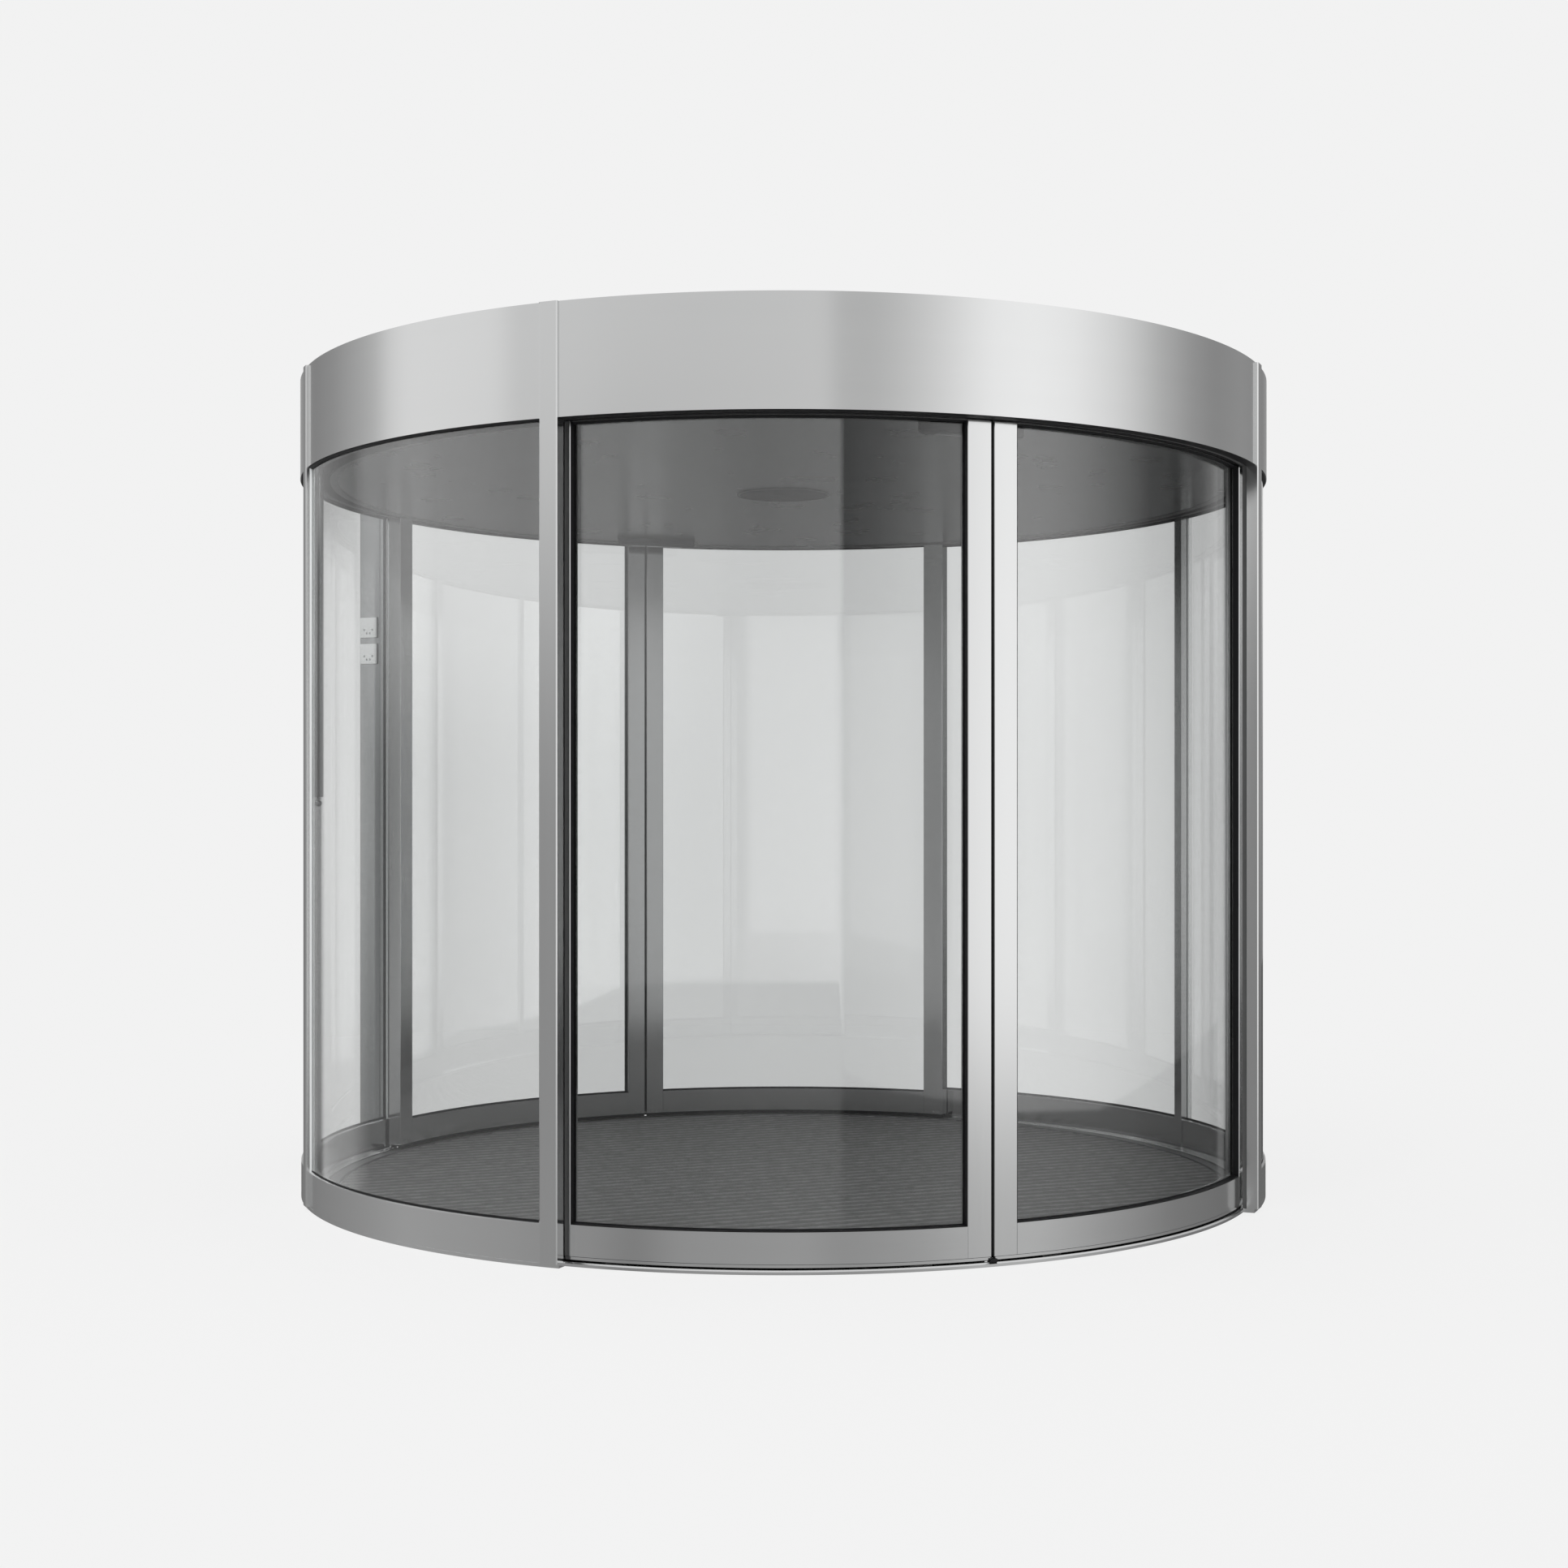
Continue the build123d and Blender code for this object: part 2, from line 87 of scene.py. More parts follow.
def add_part(bm, part):
    """Puts a finished part into the mesh of its piece."""
    bmesh.ops.remove_doubles(part, verts=part.verts, dist=1e-6)
    bmesh.ops.recalc_face_normals(part, faces=part.faces)
    held = bpy.data.meshes.new("part")
    part.to_mesh(held)
    part.free()
    bm.from_mesh(held)
    bpy.data.meshes.remove(held)


def bar(bm, inner, outer, width, angle, low, high, shift=0.0, edge=0.0, segments=2):
    """Straight bar standing at an angle, its depth along the radius, moved sideways by shift."""
    part = bmesh.new()
    size = Matrix.Diagonal((outer - inner, width, high - low, 1.0))
    place = Matrix.Translation(((inner + outer) / 2.0, shift, (low + high) / 2.0))
    bmesh.ops.create_cube(part, size=1.0, matrix=Matrix.Rotation(radians(angle), 4, "Z") @ place @ size)
    if edge:
        round_edges(part, part.edges[:], edge, segments)
    add_part(bm, part)


def disc(bm, radius, thickness, matrix, edge=0.0, segments=24):
    """Round plate or pin, lying across the z axis of its matrix, with a bevelled rim."""
    part = bmesh.new()
    bmesh.ops.create_cone(
        part, cap_ends=True, segments=segments, radius1=radius, radius2=radius, depth=thickness
    )
    if edge:
        rim = [e for e in part.edges if abs(e.verts[0].co.z - e.verts[1].co.z) < 1e-7]
        round_edges(part, rim, edge, 2)
    bmesh.ops.transform(part, matrix=matrix, verts=part.verts)
    add_part(bm, part)


def outward(angle, radius, height, shift=0.0):
    """Matrix of a fitting on the drum, its z axis pointing away from the axis of the drum."""
    turn = Matrix.Rotation(radians(angle), 4, "Z")
    return turn @ Matrix.Translation((radius, shift, height)) @ Matrix.Rotation(pi / 2.0, 4, "Y")


def make_piece(bm, name, material, body, slot, *stands_for):
    """Turns a mesh into a piece that rides on its body, smooth where it curves and crisp at its edges."""
    mesh = bpy.data.meshes.new(name)
    bm.to_mesh(mesh)
    bm.free()
    mesh.shade_smooth()
    mesh.set_sharp_from_angle(angle=radians(CREASE))
    mesh.materials.append(material)
    piece = bpy.data.objects.new(name, mesh)
    bpy.context.scene.collection.objects.link(piece)
    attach(piece, body)
    if stands_for:
        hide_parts(*stands_for)
    return piece


def dress(material, *nodes):
    """Gives CAD nodes their finish."""
    for name in nodes:
        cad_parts[name].data.materials[0] = material


def new_effect(name, inputs, outputs):
    """Empty shader node group with named inputs (name, kind, value) and outputs (name, kind)."""
    group = bpy.data.node_groups.new(name, "ShaderNodeTree")
    for label, kind, value in inputs:
        socket = group.interface.new_socket(label, in_out="INPUT", socket_type="NodeSocket" + kind)
        if value is not None:
            socket.default_value = value
    for label, kind in outputs:
        group.interface.new_socket(label, in_out="OUTPUT", socket_type="NodeSocket" + kind)
    return group, group.nodes.new("NodeGroupInput"), group.nodes.new("NodeGroupOutput")


def add_node(tree, kind, settings=(), **values):
    """New shader node with its settings and the values or links of its inputs, in order or by name."""
    node = tree.nodes.new("ShaderNode" + kind)
    for key, value in dict(settings).items():
        setattr(node, key, value)
    for key, value in values.items():
        label = key.replace("_", " ")
        socket = node.inputs[int(key[1:])] if key[0] == "i" and key[1:].isdigit() else node.inputs[label]
        if isinstance(value, bpy.types.NodeSocket):
            tree.links.new(value, socket)
        else:
            socket.default_value = value
    return node


def maths(tree, operation, *values, clamp=False):
    """Output of a Math node."""
    node = tree.nodes.new("ShaderNodeMath")
    node.operation = operation
    node.use_clamp = clamp
    for socket, value in zip(node.inputs, values):
        if isinstance(value, bpy.types.NodeSocket):
            tree.links.new(value, socket)
        else:
            socket.default_value = value
    return node.outputs[0]


def scaled(tree, vector, by):
    """Output of a vector multiplied part by part."""
    node = tree.nodes.new("ShaderNodeVectorMath")
    node.operation = "MULTIPLY"
    tree.links.new(vector, node.inputs[0])
    node.inputs[1].default_value = by
    return node.outputs[0]


def axis_distance(tree, apart):
    """Output of the distance from the axis of the drum, for a place that is split into its parts."""
    squares = [maths(tree, "POWER", apart.outputs[part], 2.0) for part in "XY"]
    return maths(tree, "SQRT", maths(tree, "ADD", *squares))


def drift(group, group_in, group_out, pattern, colour, tone, spread, height):
    """Lets a pattern shift the colour and roughness of an effect, and gives out its relief."""
    swing = maths(group, "SUBTRACT", pattern, 0.5)
    bright = maths(group, "ADD", maths(group, "MULTIPLY", swing, tone), 1.0)
    tint = add_node(group, "VectorMath", settings={"operation": "SCALE"}, i0=colour, Scale=bright)
    rough = maths(group, "ADD", maths(group, "MULTIPLY", swing, spread), group_in.outputs["Roughness"])
    group.links.new(tint.outputs["Vector"], group_out.inputs["Colour"])
    group.links.new(rough, group_out.inputs["Roughness"])
    group.links.new(height, group_out.inputs["Height"])


# Run of the drum: turns a place into arc length, radius and height, so that grain follows the curve.
ARC_RADIUS = 1.5  # where a line of grain has its stated length
run, group_in, group_out = new_effect("run of the drum", [("Position", "Vector", None)], [("Run", "Vector")])
apart = add_node(run, "SeparateXYZ", Vector=group_in.outputs["Position"])
turned = maths(run, "ARCTAN2", apart.outputs["Y"], apart.outputs["X"])
arc = maths(run, "MULTIPLY", turned, ARC_RADIUS)
joined = add_node(run, "CombineXYZ", X=arc, Y=axis_distance(run, apart), Z=apart.outputs["Z"])
run.links.new(joined.outputs["Vector"], group_out.inputs["Run"])

# Satin grain: the fine lines that an etched and anodised extrusion keeps, and its slow change of tone.
grain, group_in, group_out = new_effect(
    "satin grain",
    [("Vector", "Vector", None), ("Metal", "Color", (0.8, 0.8, 0.8, 1)), ("Roughness", "Float", 0.2),
     ("Tone", "Float", 0.04), ("Spread", "Float", 0.05)],
    [("Colour", "Color"), ("Roughness", "Float"), ("Height", "Float")],
)
lines = add_node(grain, "TexNoise", Vector=group_in.outputs["Vector"], Scale=1.0, Detail=3.0, Roughness=0.6)
coarser = scaled(grain, group_in.outputs["Vector"], (0.03, 0.03, 0.03))
clouds = add_node(grain, "TexNoise", Vector=coarser, Scale=1.0, Detail=2.0)
halves = [maths(grain, "MULTIPLY", noise.outputs["Fac"], 0.5) for noise in (lines, clouds)]
drift(
    grain, group_in, group_out, maths(grain, "ADD", *halves), group_in.outputs["Metal"],
    group_in.outputs["Tone"], group_in.outputs["Spread"], lines.outputs["Fac"],
)


def new_finish(name):
    """Empty material with its Principled shader and the place on the piece."""
    material = bpy.data.materials.new(name)
    material.use_nodes = True
    tree = material.node_tree
    place = tree.nodes.new("ShaderNodeTexCoord").outputs["Object"]
    return material, tree, tree.nodes["Principled BSDF"], place


def use_effect(tree, group, **values):
    """Places a node group in a material with its own values."""
    node = tree.nodes.new("ShaderNodeGroup")
    node.node_tree = group
    for key, value in values.items():
        if isinstance(value, bpy.types.NodeSocket):
            tree.links.new(value, node.inputs[key])
        else:
            node.inputs[key].default_value = value
    return node


def raise_bump(tree, shader, height, depth, strength=0.5):
    """Bump of a given depth in metres on the shader's normal."""
    bump = add_node(tree, "Bump", Height=height, Distance=depth, Strength=strength)
    tree.links.new(bump.outputs["Normal"], shader.inputs["Normal"])


def colour_by(tree, shader, colour, pattern, **limits):
    """Base colour that a pattern makes darker and lighter between the limits of a Map Range node."""
    shade = add_node(tree, "MapRange", Value=pattern, **limits)
    shaded = add_node(tree, "VectorMath", settings={"operation": "SCALE"}, i0=colour, Scale=shade.outputs[0])
    tree.links.new(shaded.outputs["Vector"], shader.inputs["Base Color"])


def satin_metal(name, colour, roughness, stretch, tone=0.05, spread=0.05, depth=0.00002):
    """Metal with fine grain; stretch is its lines a metre along the arc, the radius and the height."""
    material, tree, shader, place = new_finish(name)
    along = use_effect(tree, run, Position=place)
    fine = use_effect(
        tree, grain, Vector=scaled(tree, along.outputs["Run"], stretch), Metal=(*colour, 1),
        Roughness=roughness, Tone=tone, Spread=spread,
    )
    tree.links.new(fine.outputs["Colour"], shader.inputs["Base Color"])
    tree.links.new(fine.outputs["Roughness"], shader.inputs["Roughness"])
    raise_bump(tree, shader, fine.outputs["Height"], depth, 0.3)
    shader.inputs["Metallic"].default_value = 1.0
    return material


ALUMINIUM = (0.85, 0.855, 0.855)
ALONG_ARC, ALONG_HEIGHT = (14.0, 700.0, 700.0), (700.0, 700.0, 14.0)
SPECKLED = (300.0, 300.0, 300.0)
satin_rolled = satin_metal("satin aluminium rolled", ALUMINIUM, 0.15, ALONG_ARC)
satin_drawn = satin_metal("satin aluminium drawn", ALUMINIUM, 0.15, ALONG_HEIGHT)

GROOVE_INNER, GROOVE_OUTER, GROOVE_FLOOR = 1.445, 1.457, 0.003
EDGE, NOSING_START, NOSING_DROP = 0.001, 1.4785, 0.0035

# The tread is a darker copy of the aluminium: painted shade.
tread_painted_shade = satin_metal(
    "threshold tread, painted shade", (0.34, 0.34, 0.345), 0.38, (9.0, 420.0, 420.0), tone=0.3, spread=0.1
)
tread = bmesh.new()
sweep(tread, [
    (RING_INSIDE, 0.0), (RING_INSIDE, ring_top - EDGE), (RING_INSIDE + EDGE, ring_top),
    (GROOVE_INNER - EDGE, ring_top), (GROOVE_INNER, ring_top - EDGE), (GROOVE_INNER, GROOVE_FLOOR),
    (GROOVE_OUTER, GROOVE_FLOOR), (GROOVE_OUTER, 0.0),
], 0.0, 360.0)
make_piece(tread, "threshold_tread", tread_painted_shade, "housing", "satin_aluminium")

ring = bmesh.new()
sweep(ring, [
    (GROOVE_OUTER, 0.0), (GROOVE_OUTER, ring_top - EDGE), (GROOVE_OUTER + EDGE, ring_top),
    (NOSING_START, ring_top), (ENTRANCE_RING, ring_top - NOSING_DROP), (ENTRANCE_RING, 0.0),
], 0.0, 360.0)
for facing in (LEFT, RIGHT):
    section = [
        (ENTRANCE_RING, 0.0), (ENTRANCE_RING, ring_top), (SIDE_FACE - EDGE, ring_top),
        (SIDE_FACE, ring_top - EDGE), (SIDE_FACE, 0.0),
    ]
    sweep(ring, section, facing - SIDE_HALF_ANGLE, facing + SIDE_HALF_ANGLE)
make_piece(ring, "threshold_ring", satin_rolled, "housing", "satin_aluminium", "floor_ring")

# ---------------------------------------------------------------- entrance mat
# Strips of needled fibre and of stiff brush by turns, each held in a thin aluminium carrier.
# The strips lie across the way in, and the round well in the ring keeps them in place.
MAT_PITCH = 0.0275
CARRIER_WIDTH = 0.0035
STRIP_END_GAP, SHORTEST_REACH = 0.004, 0.03
STRIP_FOOT, STRIP_ROUNDING = 0.0015, 0.0022
BELOW_TOP = {"fibre": 0.0002, "brush": 0.0008, "carrier": 0.0030}
WALL_INSIDE, WALL_OUTSIDE = 0.0006, 0.0010  # a carrier's wall, from the edge of its strip
WALL_FOOT, CARRIER_BASE, CARRIER_OVERRUN = 0.0008, 0.0014, 0.005
mat_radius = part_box("floor_mat")[1].x
mat_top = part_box("floor_mat")[1].z

fibre, tree, shader, place = new_finish("needled fibre")
tufts = add_node(tree, "TexNoise", Vector=scaled(tree, place, (900.0, 500.0, 900.0)), Scale=1.0, Detail=3.0)
patches = add_node(tree, "TexNoise", Vector=place, Scale=26.0, Detail=4.0, Roughness=0.65)
pile = maths(tree, "MULTIPLY", tufts.outputs["Fac"], patches.outputs["Fac"])
colour_by(tree, shader, (0.345, 0.338, 0.340), pile, i1=0.12, i2=0.42, i3=0.6, i4=1.35)
shader.inputs["Roughness"].default_value = 0.95
shader.inputs["Sheen Weight"].default_value = 0.15
raise_bump(tree, shader, tufts.outputs["Fac"], 0.0012, 0.8)

brush, tree, shader, place = new_finish("brush bristle")
fine_hair = scaled(tree, place, (1400.0, 120.0, 1400.0))
bristles = add_node(tree, "TexNoise", Vector=fine_hair, Scale=1.0, Detail=2.0)
colour_by(tree, shader, (0.245, 0.241, 0.243), bristles.outputs["Fac"], i1=0.3, i2=0.7, i3=0.6, i4=1.4)
shader.inputs["Roughness"].default_value = 0.7
raise_bump(tree, shader, bristles.outputs["Fac"], 0.0015, 0.8)

mat_pieces = {"fibre": bmesh.new(), "brush": bmesh.new(), "carrier": bmesh.new()}
strips = int(mat_radius / MAT_PITCH)
half_width = (MAT_PITCH - CARRIER_WIDTH) / 2.0
for index in range(-strips, strips + 1):
    middle = index * MAT_PITCH
    reach = sqrt(max(mat_radius ** 2 - (abs(middle) + MAT_PITCH / 2.0) ** 2, 0.0)) - STRIP_END_GAP
    if reach < SHORTEST_REACH:
        continue
    kind = "fibre" if index % 2 else "brush"
    carrier_length = 2.0 * reach + CARRIER_OVERRUN
    bar(
        mat_pieces[kind], middle - half_width, middle + half_width, 2.0 * reach, REAR,
        STRIP_FOOT, mat_top - BELOW_TOP[kind], edge=STRIP_ROUNDING,
    )
    for side in (-1, 1):
        wall = middle + side * half_width
        bar(
            mat_pieces["carrier"], wall - WALL_INSIDE, wall + WALL_OUTSIDE, carrier_length, REAR,
            WALL_FOOT, mat_top - BELOW_TOP["carrier"], edge=0.0004, segments=1,
        )
    bar(
        mat_pieces["carrier"], middle - half_width, middle + half_width, carrier_length, REAR,
        0.0, CARRIER_BASE,
    )
make_piece(mat_pieces["fibre"], "mat_fibre_strips", fibre, "housing", "mat_fibre", "floor_mat")
make_piece(mat_pieces["brush"], "mat_brush_strips", brush, "housing", "mat_fibre")
worn_carrier = satin_metal("mat carrier", (0.42, 0.42, 0.42), 0.4, SPECKLED, tone=0.3, spread=0.1)
make_piece(mat_pieces["carrier"], "mat_carriers", worn_carrier, "housing", "satin_aluminium")

# ---------------------------------------------------------------- fixed side walls
# Curved toughened panes that stand in a deep bottom rail, clamped between an outer and an inner bead
# on black gaskets. A white strip on each pane's edge beside its mullion is a painted highlight.
rail_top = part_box("side_rail_left")[1].z
GLASS_OUTER, GLASS_INNER = 1.509, 1.501
GASKET = 0.0014  # gap between a pane and its bead, filled by a gasket
INNER_BEAD = 0.0160  # how far the inner bead reaches in from the pane
HEAD_GASKET, HEAD_GASKET_EDGE = 0.007, 0.005
EDGE_GASKET = 0.0020
GASKET_ANGLE, JOINT_ANGLE = 0.11, 0.08
FACE_PROUD = 0.0004  # joint rubber in front of the rail
clear_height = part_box("track_housing")[0].z
POST_HALF_ANGLE = 1.0124
POST_MIDDLE = 44.16 + POST_HALF_ANGLE
MULLION_HALF_ANGLE = 0.83
sides = [
    (facing + turn * MULLION_HALF_ANGLE, facing + turn * (90.0 - POST_MIDDLE - POST_HALF_ANGLE))
    for facing in (LEFT, RIGHT) for turn in (-1, 1)
]

# Moulded skin: the fine texture of rubber, plastic and paint.
skin, group_in, group_out = new_effect(
    "moulded skin",
    [("Vector", "Vector", None), ("Tint", "Color", (0.02, 0.02, 0.02, 1)), ("Roughness", "Float", 0.5),
     ("Scale", "Float", 900.0), ("Variation", "Float", 0.3)],
    [("Colour", "Color"), ("Roughness", "Float"), ("Height", "Float")],
)
pores = add_node(
    skin, "TexNoise", Vector=group_in.outputs["Vector"], Scale=group_in.outputs["Scale"], Detail=2.0
)
bloom = add_node(skin, "TexNoise", Vector=group_in.outputs["Vector"], Scale=7.0, Detail=3.0)
drift(
    skin, group_in, group_out, bloom.outputs["Fac"], group_in.outputs["Tint"],
    group_in.outputs["Variation"], 0.15, pores.outputs["Fac"],
)


def moulded(name, tint, roughness, scale=900.0, variation=0.3, depth=0.0001, level=0.5):
    """Rubber, plastic or paint with its own texture."""
    material, tree, shader, place = new_finish(name)
    surface = use_effect(
        tree, skin, Vector=place, Tint=(*tint, 1), Roughness=roughness, Scale=scale, Variation=variation
    )
    tree.links.new(surface.outputs["Colour"], shader.inputs["Base Color"])
    tree.links.new(surface.outputs["Roughness"], shader.inputs["Roughness"])
    raise_bump(tree, shader, surface.outputs["Height"], depth, 0.4)
    shader.inputs["Specular IOR Level"].default_value = level
    return material


seal_rubber = moulded("seal rubber", (0.008, 0.008, 0.009), 0.55, variation=0.5, level=0.3)
grey_rubber = moulded("grey seal rubber", (0.10, 0.10, 0.10), 0.7, variation=0.3, level=0.3)


def float_glass(name, tint, refraction):
    """Clear float glass; its body colour drifts a little over the pane."""
    material, tree, shader, place = new_finish(name)
    ream = add_node(tree, "TexNoise", Vector=scaled(tree, place, (1.0, 1.0, 0.3)), Scale=1.5, Detail=1.0)
    body = add_node(
        tree, "Mix", settings={"data_type": "RGBA"}, Factor=ream.outputs["Fac"],
        i6=(*[0.993 * part for part in tint], 1), i7=(*[1.007 * part for part in tint], 1),
    )
    tree.links.new(body.outputs[2], shader.inputs["Base Color"])
    shader.inputs["Roughness"].default_value = 0.0
    shader.inputs["IOR"].default_value = refraction
    shader.inputs["Transmission Weight"].default_value = 1.0
    see_through = add_node(tree, "BsdfTransparent", Color=(0.76, 0.79, 0.78, 1))
    light_path = tree.nodes.new("ShaderNodeLightPath")
    chosen = add_node(
        tree, "MixShader", i0=light_path.outputs["Is Shadow Ray"], i1=shader.outputs["BSDF"],
        i2=see_through.outputs["BSDF"],
    )
    tree.links.new(chosen.outputs["Shader"], tree.nodes["Material Output"].inputs["Surface"])
    return material


front_glass = float_glass("clear front glass", (0.800, 0.808, 0.807), 1.50)
leaf_glass = float_glass("clear rear glass", (0.844, 0.852, 0.851), 1.82)
side_glass = float_glass("clear side glass", (0.878, 0.885, 0.883), 1.60)
dress(side_glass, "side_glass_left", "side_glass_right")
dress(satin_rolled, "side_rail_left", "side_rail_right")

BEAD_HEIGHT = 0.0035
beads, gaskets = bmesh.new(), bmesh.new()
for start, end in sides:
    outer_bead = [
        (GLASS_OUTER + GASKET, rail_top), (GLASS_OUTER + GASKET, rail_top + BEAD_HEIGHT),
        (SIDE_FACE - 0.0006, rail_top + 0.0014), (SIDE_FACE - 0.0006, rail_top),
    ]
    inner_bead = [
        (GLASS_INNER - GASKET, rail_top), (GLASS_INNER - GASKET, rail_top + BEAD_HEIGHT),
        (GLASS_INNER - INNER_BEAD, rail_top + 0.0012), (GLASS_INNER - INNER_BEAD, rail_top),
    ]
    for section in (outer_bead, inner_bead):
        sweep(beads, section, start, end)
    for inner, outer in ((GLASS_OUTER, GLASS_OUTER + GASKET), (GLASS_INNER - GASKET, GLASS_INNER)):
        foot = [(inner, rail_top), (inner, rail_top + 0.0075), (outer, rail_top + 0.0065), (outer, rail_top)]
        sweep(gaskets, foot, start, end)
    for face, rim in ((GLASS_OUTER, SIDE_FACE), (GLASS_INNER, GLASS_INNER - 0.0080)):
        head = [
            (face, clear_height - HEAD_GASKET), (face, clear_height), (rim, clear_height),
            (rim, clear_height - HEAD_GASKET_EDGE),
        ]
        sweep(gaskets, head, start, end)
    lean = -1.0 if end > start else 1.0
    for inner, outer in ((GLASS_OUTER, GLASS_OUTER + EDGE_GASKET), (GLASS_INNER - EDGE_GASKET, GLASS_INNER)):
        edge_section = upright(inner, outer, rail_top + 0.008, clear_height - HEAD_GASKET)
        sweep(gaskets, edge_section, end, end + lean * GASKET_ANGLE)
    rail_joint = upright(SIDE_FACE - 0.001, SIDE_FACE + FACE_PROUD, ring_top, rail_top)
    sweep(gaskets, rail_joint, end, end + lean * JOINT_ANGLE)
# White strips on the panes beside the mullions: a painted highlight of the pane edges.
EDGE_HIGHLIGHT, EDGE_HIGHLIGHT_SHIFT = (GLASS_OUTER + 0.0002, GLASS_OUTER + 0.0070, 0.0012), 0.0226
edge_highlights = bmesh.new()
for facing in (LEFT, RIGHT):
    for turn in (-1, 1):
        bar(edge_highlights, *EDGE_HIGHLIGHT, facing, rail_top, clear_height, turn * EDGE_HIGHLIGHT_SHIFT)
# A plain white finish that stands in for a highlight.
painted_highlight_white = moulded("white painted highlight", (0.88, 0.90, 0.90), 0.6, scale=300.0, variation=0.1)
make_piece(edge_highlights, "pane_edge_highlights", painted_highlight_white, "housing", "seal_rubber")
make_piece(beads, "side_glazing_beads", satin_rolled, "housing", "satin_aluminium")
make_piece(gaskets, "side_glazing_gaskets", seal_rubber, "housing", "seal_rubber")

# ---------------------------------------------------------------- corner posts and mullions
# Drawn aluminium uprights with a broken front edge, standing a little proud of the walls and the fascia.
# Soft grey profiles on the corner posts close the gap to the sliding leaves.
# A darker copy of the satin aluminium is painted shade, for the rear posts and the control column.
satin_painted_shade = satin_metal("satin aluminium, painted shade", (0.55, 0.565, 0.57), 0.15, ALONG_HEIGHT)
dress(satin_drawn, "corner_post_front_left", "corner_post_front_right")
dress(satin_drawn, "side_mullion_left", "side_mullion_right")
dress(satin_painted_shade, "corner_post_rear_left", "corner_post_rear_right")
dress(grey_rubber, "post_seals")

# ---------------------------------------------------------------- sliding leaves
# Each leaf is a curved pane in two deep stiles and a bottom rail, hung from a head rail on rollers.
# Black wedge gaskets hold the pane, and the meeting edges carry soft black seals. Under each leaf run
# a black wiper outside and a black strip inside; the inner strip is painted shade for the dark gap under the
# leaf.
LEAVES = (
    ("front_left", FRONT, -1), ("front_right", FRONT, 1), ("rear_left", REAR, 1), ("rear_right", REAR, -1),
)
LEAF_OUTER, LEAF_INNER = 1.475, 1.427
PANE_OUTER, PANE_INNER = 1.456, 1.446
LEAD, LEAD_INNER, TRAIL_INNER, TRAIL = 0.1554, 2.7969, 43.7507, 46.8
leaf_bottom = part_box("front_left_stiles")[0].z
leaf_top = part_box("front_left_stiles")[1].z
leaf_rail_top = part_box("front_left_bottom_rail")[1].z
REVEAL_LINER, GASKET_FOOT, GASKET_LIP = 0.0014, 0.0030, 0.0010
LINER_SETBACK, INNER_LINER = 0.0018, 0.0060
WEDGE, WEDGE_SHOULDER, WEDGE_TOP = 0.0012, 0.0024, 0.0042
HEAD_WEDGE, HEAD_WEDGE_EDGE, HEAD_WEDGE_REACH = 0.0045, 0.0035, 0.006
SEAL_INNER, SEAL_OUTER = 1.437, 1.465
SEAL_END, SEAL_HALF_GAP = 0.004, 0.0005
# Of the two black strips under a leaf, the outer is a wiper and the inner is painted shade.
WIPER_AND_SHADE_STRIPS, UNDER_STRIP_LOW = ((1.4295, 1.4390), (1.4620, 1.4664)), 0.0135
STRIP_INNER, STRIP_OUTER, STRIP_LOW, STRIP_BELOW_LEAF = 1.4665, 1.4738, 0.0162, 0.0012
UNDER_STRIP_END_ANGLE, STRIP_END_ANGLE = 0.1, 0.15
SCREW_HEIGHT, SCREW_PLACES = 0.0320, (0.016, 0.036)


def turn_of(length, radius=1.451):
    """Angle in degrees that a length covers at a radius."""
    return degrees(length / radius)


def sweep_leaf(bm, section, leaf, start, end):
    """Carries a section along a leaf, between two angles from the middle of its entrance."""
    _, entrance, side = leaf
    sweep(bm, section, entrance + side * start, entrance + side * end)


screw_steel = satin_metal("screw steel", (0.72, 0.72, 0.71), 0.25, SPECKLED, depth=0.00001)

